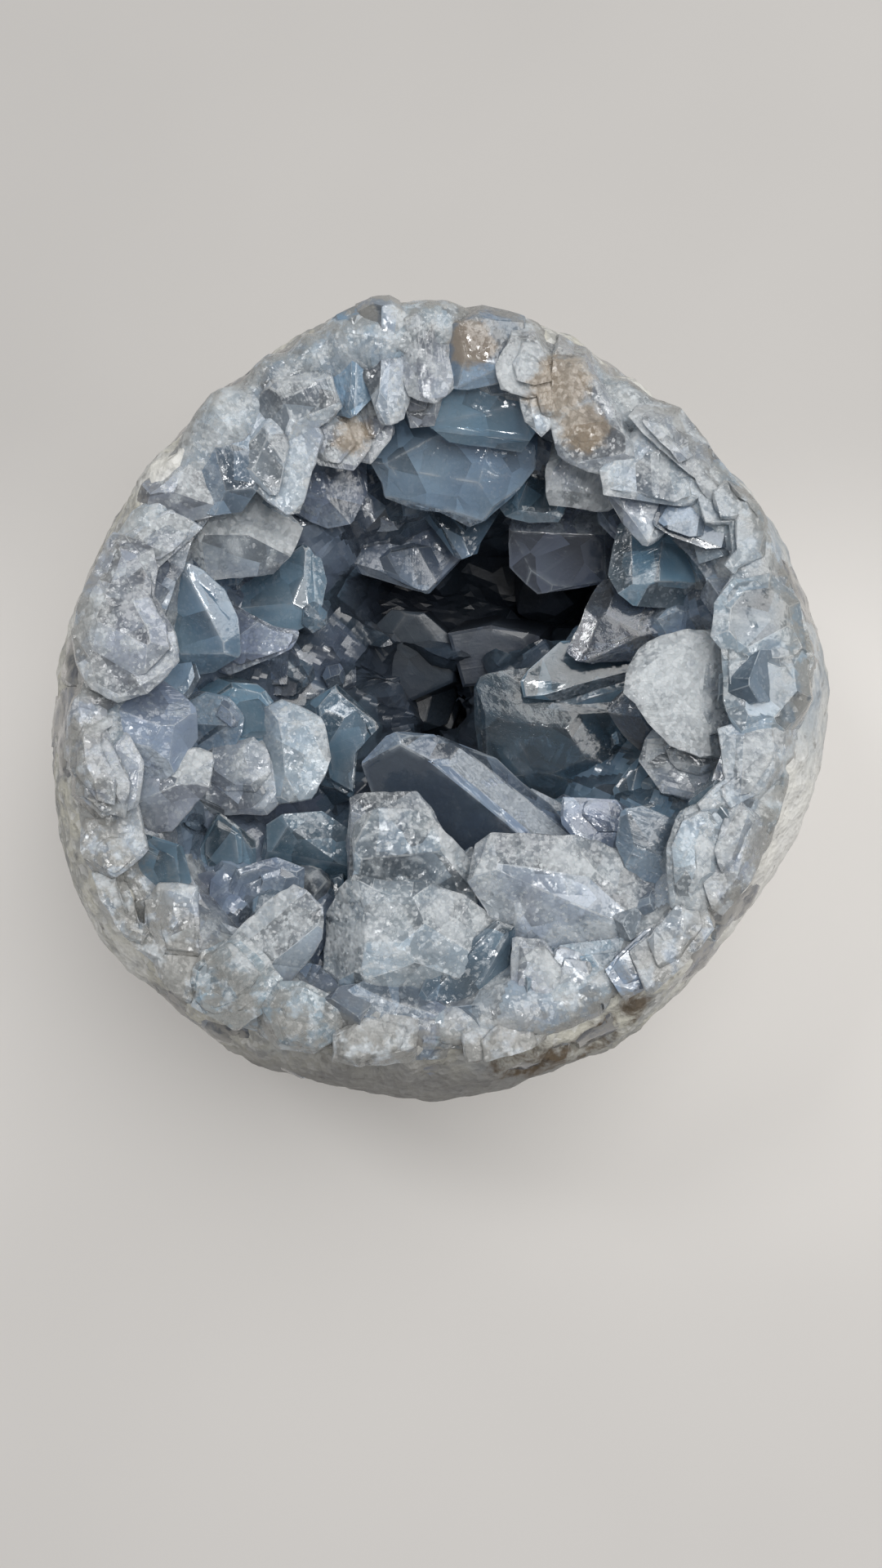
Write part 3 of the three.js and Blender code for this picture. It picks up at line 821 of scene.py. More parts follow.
def hackle_effect() -> Effect:
    """A broken surface, as the height of many small flat faces that tilt at random."""
    effect = Effect("hackle", {"Scale": 500.0, "Tilt": 0.5}, ["Height", "Shade"])
    t, given = effect.nodes, effect.given
    where = t.place()
    cells = t.add("TexVoronoi", {"Vector": where, "Scale": given["Scale"]})
    away = t.add("VectorMath", {0: where, 1: cells.outputs["Position"]}, operation="SUBTRACT")
    lean = t.add("VectorMath", {0: cells.outputs["Color"], 1: (0.5, 0.5, 0.5)}, operation="SUBTRACT")
    height = t.add("VectorMath", {0: away.outputs[0], 1: lean.outputs[0]}, operation="DOT_PRODUCT")
    shade = t.add("SeparateColor", {0: cells.outputs["Color"]}).outputs[0]
    effect.give(Height=t.sum("MULTIPLY", height.outputs["Value"], given["Tilt"]), Shade=shade)
    return effect


def striae_effect() -> Effect:
    """Growth lines along a crystal, strong in places."""
    effect = Effect("striae", {"Spacing": 1400.0}, ["Height", "Mask"])
    t, given = effect.nodes, effect.given
    where = t.place()
    along = t.mark(Mark.ALONG, "Vector")
    reach = t.add("VectorMath", {0: where, 1: along}, operation="DOT_PRODUCT").outputs["Value"]
    lengthwise = t.add("VectorMath", {0: along, "Scale": t.sum("MULTIPLY", reach, 0.96)}, operation="SCALE")
    flattened = t.add("VectorMath", {0: where, 1: lengthwise.outputs[0]}, operation="SUBTRACT").outputs[0]
    lines = t.noise(flattened, given["Spacing"], 2.0, 0.65)
    shown = t.rise(t.noise(where, 120.0, 1.0), 0.4, 0.6)
    mask = t.sum("MULTIPLY", shown, t.mark(Mark.STRIAE))
    effect.give(Height=t.sum("MULTIPLY", lines, mask), Mask=t.sum("MULTIPLY", t.rise(lines, 0.52, 0.7), mask))
    return effect


def patch_effect() -> Effect:
    """A ragged spot on the piece, round a place given in metres."""
    effect = Effect("patch", {"X": 0.0, "Y": 0.0, "Z": 0.0, "Radius": 0.004, "Ragged": 0.5}, ["Mask"])
    t, given = effect.nodes, effect.given
    middle = t.add("CombineXYZ", {0: given["X"], 1: given["Y"], 2: given["Z"]}).outputs[0]
    away = t.add("VectorMath", {0: t.place(), 1: middle}, operation="DISTANCE").outputs["Value"]
    ragged = t.sum("MULTIPLY_ADD", given["Ragged"], 1.4, 0.35)
    share = t.sum("DIVIDE", away, t.sum("MULTIPLY", given["Radius"], ragged))
    effect.give(Mask=t.sum("SUBTRACT", 1.0, t.rise(share, 0.7, 1.05)))
    return effect


@dataclass
class Effects:
    """The node groups that the finishes share."""

    veils: Effect = field(default_factory=veils_effect)
    grains: Effect = field(default_factory=grains_effect)
    striae: Effect = field(default_factory=striae_effect)
    patch: Effect = field(default_factory=patch_effect)
    hackle: Effect = field(default_factory=hackle_effect)


@dataclass(frozen=True)
class Spot:
    """A stained place, in millimetres."""

    at: Place
    radius: float

    def mask(self, tree: Tree, effects: Effects, ragged: Value):
        """Returns the spot's mask in a material."""
        x, y, z = (v * MM for v in self.at)
        radius = self.radius * MM
        return effects.patch.use(tree, X=x, Y=y, Z=z, Radius=radius, Ragged=ragged)["Mask"]


def spots_mask(tree: Tree, effects: Effects, spots: Sequence[Spot]):
    """Returns one mask for several spots."""
    ragged = tree.noise(tree.place(), 420.0, 4.0, 0.6)
    mask = spots[0].mask(tree, effects, ragged)
    for spot in spots[1:]:
        mask = tree.sum("MAXIMUM", mask, spot.mask(tree, effects, ragged))
    return mask


def rgba(colour: Colour) -> tuple[float, float, float, float]:
    """Returns a colour with full alpha."""
    return (*colour, 1.0)


# ---------------------------------------------------------------- finishes

TAN_SPOTS = (
    Spot((5, 44, 79), 3.4), Spot((16.5, 38.5, 78), 4.5), Spot((20, 33, 77), 3.5), Spot((-11.7, 33.4, 73), 3.2),
)
RUST_SPOTS = (Spot((21, -50, 64), 6.0), Spot((14, -52.5, 64), 6.5), Spot((26, -46, 66), 4.0))

@dataclass(frozen=True)
class CelestiteFinish:
    """Blue celestite of one clarity."""

    name: str
    lilac: Colour
    teal: Colour
    # veil is the colour of milky veils and frost, and also of the painted pale glow along face borders
    veil: Colour
    # edge is the pale colour of worn edges: wear, and a painted edge highlight
    edge: Colour
    # deep is the dark colour of the painted shade deep in the pocket
    deep: Colour
    crust: Colour
    transmission: float
    roughness: tuple[float, float]
    veils: float
    absorption: Colour
    density: float
    hackle: float
    coat: float
    glow: float  # the share of light that soaks in and comes out again
    depth: float  # how much its faces, and what shows through them, differ in lightness: the strength of its painted light and shade

    def white(self, t: Tree, effects: Effects, frost: Value, cloudy: Value) -> Value:
        """Returns how white the crystal is at each point: frost, veils and growth lines, with painted glints.

        Args:
            t: The material's nodes.
            effects: The shared node groups.
            frost: How frosted its face is.
            cloudy: Smooth patches from 0 to 1.
        """
        amount = t.sum("MULTIPLY_ADD", frost, 0.7, self.veils)
        veil = effects.veils.use(t, Scale=150.0, Amount=amount)["Mask"]
        # Painted glints: tiny white flecks in the colour stand for light sparkling off frosted faces
        grains = effects.hackle.use(t, Scale=2600.0, Tilt=1.0)["Shade"]
        painted_sparkle = t.sum("MULTIPLY", t.rise(grains, 0.72, 0.95), t.sum("MULTIPLY_ADD", frost, 0.8, 0.03))
        lines = effects.striae.use(t, Spacing=1200.0)["Mask"]
        white = t.sum("MULTIPLY", t.sum("MULTIPLY", frost, frost), t.sum("MULTIPLY_ADD", cloudy, 0.6, 0.3))
        for mask, share in ((veil, 0.5), (lines, 0.6), (painted_sparkle, 0.9)):
            white = t.sum("MULTIPLY_ADD", mask, share, white)
        return t.sum("MINIMUM", white, 1.0)

    def relief(self, t: Tree, effects: Effects, frost: Value, white: Value) -> Value:
        """Returns the height of its broken and striated surface at each point, in metres."""
        where = t.place()
        tilt = t.sum("MULTIPLY_ADD", frost, 0.16 * self.hackle, 0.02)
        broken = effects.hackle.use(t, Scale=480.0, Tilt=tilt)["Height"]
        finer = effects.hackle.use(t, Scale=1700.0, Tilt=t.sum("MULTIPLY", frost, 0.7 * self.hackle))["Height"]
        relief = t.sum("ADD", broken, finer)
        relief = t.sum("MULTIPLY_ADD", t.noise(where, 130.0, 2.0, 0.5), 0.0003, relief)
        depth = t.sum("MULTIPLY_ADD", white, 0.0002, 0.00003)
        relief = t.sum("MULTIPLY_ADD", t.noise(where, 1100.0, 3.0, 0.6), depth, relief)
        return t.sum("MULTIPLY_ADD", effects.striae.use(t, Spacing=1200.0)["Height"], 0.00035, relief)

    def make(self, effects: Effects) -> bpy.types.Material:
        """Builds the material.

        Args:
            effects: The node groups that it shares with the others.

        Returns:
            The material.
        """
        material = bpy.data.materials.new(self.name)
        material.use_nodes = True
        t = Tree(material.node_tree)
        where = t.place()
        frost = t.mark(Mark.FROST)
        cloud = t.noise(where, 100.0, 3.0, 0.5, 0.6)
        small = t.noise(where, 330.0, 3.0, 0.6)

        tone = t.sum("ADD", t.mark(Mark.TONE), t.sum("MULTIPLY_ADD", cloud, 1.1, -0.55), clamp=True)
        colour = t.blend(tone, rgba(self.lilac), rgba(self.teal))
        cloudy = t.rise(cloud, 0.38, 0.68)
        colour = t.blend(t.sum("MULTIPLY", cloudy, 0.25), colour, rgba(self.veil))
        # Painted light and shade: the faces' own painted lightness and a painted refraction of tilted inner facets
        # scale the colour
        painted_refraction = effects.hackle.use(t, Scale=170.0, Tilt=140.0)
        light = t.sum("MULTIPLY_ADD", painted_refraction["Shade"], 0.12, painted_refraction["Height"])
        light = t.sum("MULTIPLY_ADD", t.mark(Mark.PAINTED_SHADE), 0.88, light)
        light = t.between(light, 1 - self.depth, 1 + 0.5 * self.depth)
        colour = t.add("VectorMath", {0: colour, "Scale": light}, operation="SCALE").outputs[0]

        white = self.white(t, effects, frost, cloudy)
        uneven = t.rise(small, 0.35, 0.62)
        # Painted glow: a pale border along each face's edge stands for light scattered through the crystal's thin edges
        painted_glow_border = t.sum("MULTIPLY", t.sum("POWER", t.mark(Mark.PAINTED_GLOW), 1.6), t.sum("MULTIPLY", uneven, 0.4))
        # Worn edges go pale, partly for wear and partly as a painted highlight along the edges
        rubbed_and_highlit = t.sum("MULTIPLY", t.mark(Mark.WORN_AND_HIGHLIT), uneven)
        colour = t.blend(t.sum("MAXIMUM", painted_glow_border, white), colour, rgba(self.veil))
        colour = t.blend(t.sum("MULTIPLY", rubbed_and_highlit, 0.35), colour, rgba(self.edge))
        stained = t.sum("MULTIPLY", spots_mask(t, effects, TAN_SPOTS), 0.75)
        colour = t.blend(stained, colour, rgba((0.5, 0.39, 0.27)))
        across, back, height_of = t.add("SeparateXYZ", {0: where}).outputs
        out = t.sum("SQRT", t.sum("ADD", t.sum("MULTIPLY", across, across), t.sum("MULTIPLY", back, back)))
        outer = t.sum("MULTIPLY", t.rise(out, 0.0425, 0.0505), t.rise(small, 0.4, 0.55, 0.8))
        colour = t.blend(outer, colour, rgba(self.crust))
        # Painted shade: below about 60 mm the colour goes towards the dark deep colour, and the faces turn matt with
        # less coat
        painted_depth_shade = t.sum("SUBTRACT", 1.0, t.rise(height_of, 0.034, 0.06))
        colour = t.blend(t.sum("MULTIPLY", painted_depth_shade, 0.9), colour, rgba(self.deep))

        matt = t.sum("MAXIMUM", t.sum("MAXIMUM", white, rubbed_and_highlit), painted_depth_shade)
        rough = t.between(matt, *self.roughness)
        relief = self.relief(t, effects, frost, white)
        bump = t.add("Bump", {"Height": relief, "Strength": 1.0, "Distance": 1.0}).outputs[0]
        inputs = {
            "Base Color": colour, "Roughness": rough, "IOR": 1.62, "Normal": bump,
            "Transmission Weight": self.transmission, "Coat Roughness": 0.05, "Coat IOR": 1.55,
            "Coat Weight": t.between(t.sum("MAXIMUM", white, painted_depth_shade), self.coat, 0.05), "Subsurface Weight": self.glow,
            "Subsurface Radius": (0.85, 0.95, 1.0), "Subsurface Scale": 0.003,
        }
        surface = t.add("BsdfPrincipled", inputs)
        volume = t.add("VolumeAbsorption", {"Color": rgba(self.absorption), "Density": self.density})
        end = t.add("OutputMaterial", {"Surface": surface.outputs[0], "Volume": volume.outputs[0]})
        end.is_active_output = True
        return material


CLEAR = CelestiteFinish(
    name="celestite, clear", lilac=(0.36, 0.43, 0.6), teal=(0.22, 0.43, 0.6), veil=(0.8, 0.84, 0.88),
    edge=(0.85, 0.88, 0.9), deep=(0.3, 0.38, 0.46), crust=(0.6, 0.6, 0.58), transmission=0.84, roughness=(0.03, 0.3), veils=0.1,
    absorption=(0.3, 0.58, 0.84), density=38.0, hackle=0.5, coat=0.3, glow=0.0, depth=0.7,
)
HAZY = CelestiteFinish(
    name="celestite, hazy", lilac=(0.35, 0.425, 0.6), teal=(0.215, 0.41, 0.57), veil=(0.62, 0.7, 0.79),
    edge=(0.7, 0.76, 0.8), deep=(0.022, 0.03, 0.048), crust=(0.42, 0.41, 0.38), transmission=0.5, roughness=(0.07, 0.4), veils=0.3,
    absorption=(0.38, 0.63, 0.8), density=50.0, hackle=0.9, coat=0.4, glow=0.0,
    depth=0.75,
)
FROSTY = CelestiteFinish(
    name="celestite, frosty", lilac=(0.41, 0.46, 0.56), teal=(0.3, 0.46, 0.57), veil=(0.77, 0.82, 0.855),
    edge=(0.85, 0.88, 0.9), deep=(0.1, 0.12, 0.16), crust=(0.42, 0.41, 0.38), transmission=0.35, roughness=(0.1, 0.45), veils=0.45,
    absorption=(0.45, 0.65, 0.8), density=45.0, hackle=1.2, coat=0.4, glow=0.3,
    depth=0.75,
)
DRUSE = CelestiteFinish(
    name="celestite, druse", lilac=(0.24, 0.28, 0.37), teal=(0.16, 0.27, 0.35), veil=(0.6, 0.66, 0.72),
    edge=(0.66, 0.72, 0.77), deep=(0.022, 0.03, 0.045), crust=(0.42, 0.41, 0.38), transmission=0.4, roughness=(0.1, 0.45), veils=0.25,
    absorption=(0.4, 0.62, 0.78), density=60.0, hackle=1.0, coat=0.4, glow=0.0, depth=0.5,
)
FINISH_OF = {Clarity.CLEAR: CLEAR, Clarity.HAZY: HAZY, Clarity.FROSTY: FROSTY, Clarity.DRUSE: DRUSE}


@dataclass(frozen=True)
class StoneFinish:
    """The stone's rind: sugary grey and cream rock, bluish where it is massive celestite."""

    name: str = "geode rind"
    cream: Colour = (0.6, 0.585, 0.51)
    grey: Colour = (0.34, 0.345, 0.34)
    white: Colour = (0.77, 0.77, 0.75)
    blue: Colour = (0.34, 0.40, 0.46)
    rust: Colour = (0.10, 0.065, 0.03)

    def make(self, effects: Effects) -> bpy.types.Material:
        """Builds the material from the shared groups."""
        material = bpy.data.materials.new(self.name)
        material.use_nodes = True
        t = Tree(material.node_tree)
        where = t.place()
        axes = t.add("SeparateXYZ", {0: where}).outputs
        grains = effects.grains.use(t, Scale=1100.0)
        mottle = t.noise(where, 260.0, 7.0, 0.66, 0.4)
        patchy = t.noise(where, 60.0, 4.0, 0.55)
        colour = t.blend(t.rise(mottle, 0.38, 0.62), rgba(self.grey), rgba(self.cream))
        colour = t.blend(t.sum("MULTIPLY", t.rise(grains["Shade"], 0.55, 1.0), 0.55), colour, rgba(self.white))
        colour = t.blend(t.rise(patchy, 0.5, 0.66, 0.6), colour, rgba(self.white))
        high = t.rise(axes[2], 0.046, 0.068)
        right = t.rise(axes[0], 0.036, 0.05)
        back = t.rise(axes[1], -0.022, 0.0)
        massive = t.sum("MULTIPLY", t.sum("MULTIPLY", high, right), back)
        massive = t.sum("MAXIMUM", massive, t.sum("MULTIPLY", t.rise(patchy, 0.42, 0.3), 0.5))
        cloud = t.noise(where, 150.0, 5.0, 0.6)
        blue = t.blend(t.rise(cloud, 0.4, 0.65, 0.7), rgba(self.blue), rgba(self.white))
        colour = t.blend(massive, colour, blue)
        sunlit = t.sum("MULTIPLY", t.rise(axes[0], 0.03, 0.046), t.sum("SUBTRACT", 1.0, back))
        colour = t.blend(t.sum("MULTIPLY", sunlit, 0.75), colour, rgba((0.86, 0.85, 0.82)))
        # Painted shade: the front of the stone, turned away from the light, is darker
        colour = t.blend(t.rise(axes[1], -0.046, -0.056, 0.85), colour, rgba((0.2, 0.195, 0.19)))
        rust = spots_mask(t, effects, RUST_SPOTS)
        colour = t.blend(t.sum("MULTIPLY", rust, t.rise(mottle, 0.62, 0.42, 0.9)), colour, rgba(self.rust))
        # Small dark flecks at random, in the colour only
        pits = t.rise(t.noise(where, 480.0, 4.0, 0.6), 0.42, 0.3, 0.5)
        colour = t.blend(pits, colour, rgba((0.14, 0.13, 0.12)))
        relief = t.sum("MULTIPLY_ADD", grains["Height"], 0.6, t.sum("MULTIPLY", mottle, 1.4))
        bump = t.add("Bump", {"Height": relief, "Strength": 0.7, "Distance": 0.0006}).outputs[0]
        rough = t.between(massive, t.between(grains["Shade"], 0.7, 0.5), 0.4)
        surface = t.add("BsdfPrincipled", {
            "Base Color": colour, "Roughness": rough, "Normal": bump, "IOR": 1.5,
        })
        end = t.add("OutputMaterial", {"Surface": surface.outputs[0]})
        end.is_active_output = True
        return material


@dataclass(frozen=True)
class FloorFinish:
    """A pale matt table top, with painted shade towards its back and its front."""

    name: str = "table top"
    colour: Colour = (0.76, 0.735, 0.71)

    def make(self) -> bpy.types.Material:
        """Builds the material."""
        material = bpy.data.materials.new(self.name)
        material.use_nodes = True
        t = Tree(material.node_tree)
        where = t.place()
        back = t.add("SeparateXYZ", {0: where}).outputs[1]
        # Painted shade: darker towards the back, and towards the front where the stone's shadow falls, over a faint
        # random tone
        shade = t.sum("ADD", t.rise(t.noise(where, 9.0, 3.0), 0.3, 0.7, 0.1), t.rise(back, 0.0, 0.07, 0.9))
        shade = t.sum("ADD", shade, t.rise(back, -0.05, -0.11, 0.35))
        painted_shade_colour = rgba(tuple(c * 0.7 for c in self.colour))
        surface = t.add("BsdfPrincipled", {"Base Color": t.blend(shade, rgba(self.colour), painted_shade_colour),
                                           "Roughness": 0.6})
        t.add("OutputMaterial", {"Surface": surface.outputs[0]})
        return material


# ---------------------------------------------------------------- the stone

@dataclass
class Stone:
    """The stone's wall: its rough outside, chipped lip and hollow, on a flat resting spot."""

    segments: int = 380
    outside_steps: int = 120
    lip_steps: int = 8
    hollow_steps: int = 26
    swell: float = 1.1
    chips: float = 1.2
    seam: float = 0.5  # how far a ground flat blends into the round
    flats: Sequence[tuple[Place, float]] = (
        ((0.62, -0.5, -0.6), 50.5), ((-0.75, 0.45, -0.48), 52.5), ((-0.25, -0.86, -0.42), 52.5),
        ((0.5, 0.78, -0.35), 53.0),
    )
    pits: Sequence[tuple[Place, Place]] = (
        ((21.8, -50.2, 63.5), (3.8, 3.4, 4.4)), ((17.0, -51.6, 65.5), (2.6, 2.6, 2.2)),
        ((12.4, -53.6, 63.0), (3.4, 2.4, 2.8)), ((25.4, -47.0, 66.5), (2.4, 2.8, 2.4)),
    )

    def push(self, point: Vector, step: int) -> float:
        """Returns how far the surface stands out at a point."""
        if step > self.outside_steps + self.lip_steps:
            return 0.0
        out = self.swell * (lumps(point / 13) + 0.45 * lumps(point / 5))
        rim = smoothstep(step, self.outside_steps - 12, self.outside_steps)
        out += rim * self.chips * lumps(Vector((point.x, point.y, 36)) / 4)
        rough = noise.noise(point / 2.6) * 0.34 + noise.noise(point / 1.1) * 0.2
        return out + rough * (1 + 0.9 * rim)

    def grind(self, bm: BMesh) -> None:
        """Presses the outside to its flats and its resting spot, and sinks the pits."""
        for vert in bm.verts:
            for faces, at in self.flats:
                normal = Vector(faces).normalized()
                proud = normal.dot(vert.co - MIDDLE) - at
                if proud > 0:
                    vert.co -= normal * (proud - 0.12 * noise.noise(vert.co / 2) * min(1, proud / self.seam))
            for at, size in self.pits:
                away = Vector([d / s for d, s in zip(vert.co - Vector(at), size)]).length
                sink = 1 - smoothstep(away, 0.35, 1.15)
                vert.co += (MIDDLE - vert.co).normalized() * sink * 0.7 * max(size)
            vert.co.z = max(vert.co.z, 0.0)

    def build(self, effects: Effects) -> None:
        """Makes the stone and dresses it."""
        lip = smooth([OUTSIDE[-1], *LIP], self.lip_steps)[1:]
        profile = [*smooth(OUTSIDE, self.outside_steps), *lip, *smooth(HOLLOW, self.hollow_steps)[1:]]
        bm = lathe(profile, self.segments, self.push)
        self.grind(bm)
        finish_piece(bm, "stone_rind", StoneFinish().make(effects), "stone", crease=60)


# ---------------------------------------------------------------- the crystals

C, H, F = Clarity.CLEAR, Clarity.HAZY, Clarity.FROSTY

FLOOR_GROUP = (
    Crystal((-2, 12, 12), (-4, 7, 34), 20, 17, 40, 3, H, Look(0.8, 0.1, 0.1)),
    Crystal((8, 22, 14), (13, 12, 35), 9, 8, 15, 1, H, Look(0.4, 0.2)),
    Crystal((10, -20, 14), (2, -8, 32), 13, 11, 15, 2, H, Look(0.5, 0.3)),
    Crystal((30, 34, 24), (14, 20, 38), 14, 12, 25, 2, H, Look(0.2, 0.1)),
)
PRISM_GROUP = (
    # the clear prism that lies across the pocket's edge
    Mass(((428, 907), (464, 889), (512, 898), (575, 912), (606, 940), (640, 962), (700, 1030),
          (560, 1040), (505, 1000), (441, 978)), 57, (0.02, 0.02), (14, -26, 46), H,
         Look(0.3, 0.05, 0.2), faces=(
        Facet((506, 900), (610, 985), (600, 915), 0.16, 1.15, 1.0, 1.0), Facet((538, 900), (686, 1018), (650, 960), 0.85, 0.2, 0.4, 0.2),
        Facet((500, 910), (647, 1030), (520, 980), 0.4, 0.0, 0.0, -0.25),
        Facet((502, 898), (480, 940), (440, 920), 0.6, 0.5, 0.3, 0.8),
        Facet((478, 940), (506, 1000), (440, 970), 0.6, 0.9, 0.2, 0.9), Facet((470, 900), (455, 985), (430, 930), 0.7, 0.2, 0, 0.3),
        Facet((560, 1005), (640, 1030), (560, 1040), 0.7, 0.7, 0.3, 0.9), Facet((440, 925), (530, 905), (470, 880), 0.5, 0.2, 0, 0.7),
    ), edge=0.22),
)
TOP_GROUP = (
    # the broad shield
    Mass(((468, 527), (494, 505), (531, 516), (561, 533), (624, 544), (643, 555), (640, 581),
          (614, 609), (568, 646), (538, 620), (512, 620), (483, 609), (481, 592), (468, 570),
          (460, 553)), 67, (0.02, 0.4), (2, 50, 56), H, Look(0.6, 0.12, 0.08, 0.3, 0.75), faces=(
        Facet((600, 540), (572, 646), (640, 580), 0.14, 0.2, 0, 0.85), Facet((468, 570), (545, 528), (494, 500), 0.2, 0.12, 0, 0.6),
        Facet((478, 600), (545, 618), (505, 625), 0.9, 0.8, 0.4, 0.6), Facet((572, 644), (645, 576), (625, 625), 0.7, 0.2, 0, 0.5),
    )),
    # the tabular crystal behind it
    Mass(((531, 470), (652, 466), (664, 494), (629, 548), (561, 535), (526, 506)), 73, (0, 0.4), (8, 52, 62), H,
         Look(0.9, 0.1, 0.1, 0.3, 0.8), faces=(
        Facet((530, 522), (650, 524), (600, 545), 0.4, 0.1, 0, 0.45), Facet((632, 468), (624, 546), (662, 500), 0.2, 0.3, 0, 0.7),
    )),
    # the point below the shield
    Mass(((516, 612), (538, 615), (568, 640), (592, 629), (618, 605), (618, 631), (574, 670),
          (558, 680), (527, 644)), 56, (0, 0.1), (6, 50, 46), H, Look(0.7, 0.2, 0.1), faces=(
        Facet((525, 622), (562, 672), (520, 660), 0.9, 0.55), Facet((560, 640), (566, 676), (610, 650), 0.3, 0.3),
    )),
    # the dark blue prism and its pale end
    Mass(((657, 507), (670, 538), (681, 570), (681, 600), (640, 592), (640, 555), (631, 546)), 62,
         (-0.05, 0.15), (16, 48, 50), H, Look(1, 0.05, 0.15), faces=(
        Facet((655, 510), (668, 600), (690, 560), 0.7, 0.3),
    )),
    Mass(((635, 588), (681, 600), (679, 622), (672, 640), (648, 641), (635, 636), (620, 629),
          (620, 609)), 62, (0, -0.1), (16, 46, 50), H, Look(0.95, 0.25), faces=(
        Facet((620, 622), (676, 628), (650, 645), 0.9, 0.45), Facet((640, 590), (636, 638), (612, 612), 0.4, 0.35),
    )),
    # the grey block, its neighbour and the pale point left of the shield
    Mass(((361, 618), (370, 572), (386, 561), (416, 554), (439, 586), (441, 618), (427, 636),
          (404, 648), (374, 636)), 64, (0.0, 0.25), (-20, 46, 54), H, Look(0.15, 0.55, 0.4, 0.8, 0.9), faces=(
        Facet((392, 558), (408, 646), (445, 600), 0.45, 0.3, 0.5), Facet((372, 600), (432, 622), (400, 650), 0.5, 0.5),
    )),
    Mass(((441, 583), (462, 562), (478, 581), (485, 613), (498, 620), (498, 643), (473, 652),
          (450, 654), (439, 632)), 57, (0, 0.2), (-10, 48, 50), H, Look(0, 0.3, 0.3), faces=(
        Facet((462, 565), (470, 650), (500, 620), 0.5, 0.2), Facet((441, 622), (495, 630), (470, 655), 0.5, 0.4),
    )),
    Mass(((306, 567), (304, 531), (361, 485), (380, 544), (361, 616), (348, 616), (327, 593),
          (309, 579)), 75, (0.1, 0.1), (-30, 42, 60), F, Look(0.3, 0.5, 0.3), 0.4, 0.6),
    Mass(((382, 520), (402, 505), (430, 512), (442, 540), (425, 562), (398, 556), (384, 545)), 74,
         (0, 0.2), (-18, 46, 60), F, Look(0.1, 0.5, 0.6)),
    # clear grains and white broken faces along the top
    Mass(((541, 430), (555, 412), (585, 404), (625, 410), (628, 440), (620, 462), (575, 468),
          (545, 470)), 79, (0, 0.25), (8, 54, 68), H, Look(0.5, 0.35, 0.1), faces=(
        Facet((565, 408), (575, 466), (545, 440), 0.6, 0.1), Facet((600, 406), (612, 464), (628, 430), 0.4, 0.5),
        Facet((545, 452), (625, 448), (580, 470), 0.5, 0.3),
    )),
    Mass(((622, 450), (632, 425), (650, 430), (662, 448), (668, 470), (645, 472), (625, 468)), 79,
         (0, 0.2), (14, 52, 68), F, Look(0.0, 0.9, 0.5)),
    Mass(((645, 470), (668, 468), (680, 442), (692, 450), (688, 490), (665, 520), (652, 505)), 78,
         (0, 0.2), (16, 50, 66), F, Look(0.3, 0.6, 0.9)),
    Mass(((683, 455), (716, 462), (735, 510), (760, 540), (768, 560), (745, 574), (720, 568),
          (695, 553), (688, 525)), 78, (-0.05, 0.25), (24, 47, 62), F, Look(0.05, 0.62, 0.2), faces=(
        Facet((690, 540), (745, 545), (715, 580), 0.6, 0.5), Facet((700, 460), (724, 560), (680, 520), 0.35, 0.75),
    )),
    Mass(((683, 574), (700, 568), (720, 572), (745, 577), (758, 590), (752, 603), (737, 618),
          (684, 615)), 69, (0, 0.2), (26, 44, 56), F, Look(0.05, 0.95, 1.0), faces=(
        Facet((684, 600), (750, 606), (715, 625), 0.5, 0.8, 1.0),
    )),
    # the dark block under them, frosted on top
    Mass(((636, 640), (679, 610), (737, 614), (758, 645), (742, 704), (664, 716), (634, 690)), 55, (0, 0.42), (34, 42, 40), H,
         Look(0.05, 0.0, 0.1, 0.4, 0.15), 0.3, 0.5, faces=(
        Facet((660, 652), (750, 656), (715, 620), 0.5, 0.75, 0.2, 0.6), Facet((738, 620), (742, 702), (765, 660), 0.6, 0.35),
    )),
    # dark bodies between the wall and the pocket
    Mass(((291, 700), (321, 706), (344, 697), (366, 677), (374, 665), (392, 690), (404, 716),
          (396, 738), (368, 771), (325, 774), (300, 757), (290, 735)), 56, (0.05, 0.1), (-42, 24, 42),
         H, Look(0.85, 0.06, 0.1), 0.3, 0.5, faces=(
        Facet((375, 668), (368, 770), (410, 720), 0.6, 0.3), Facet((292, 745), (395, 735), (345, 780), 0.4, 0.12),
    )),
    Mass(((430, 655), (500, 648), (528, 650), (556, 684), (520, 720), (450, 700)), 50, (0, 0.1),
         (-4, 44, 38), H, Look(0.3, 0.1, 0.1)),
)
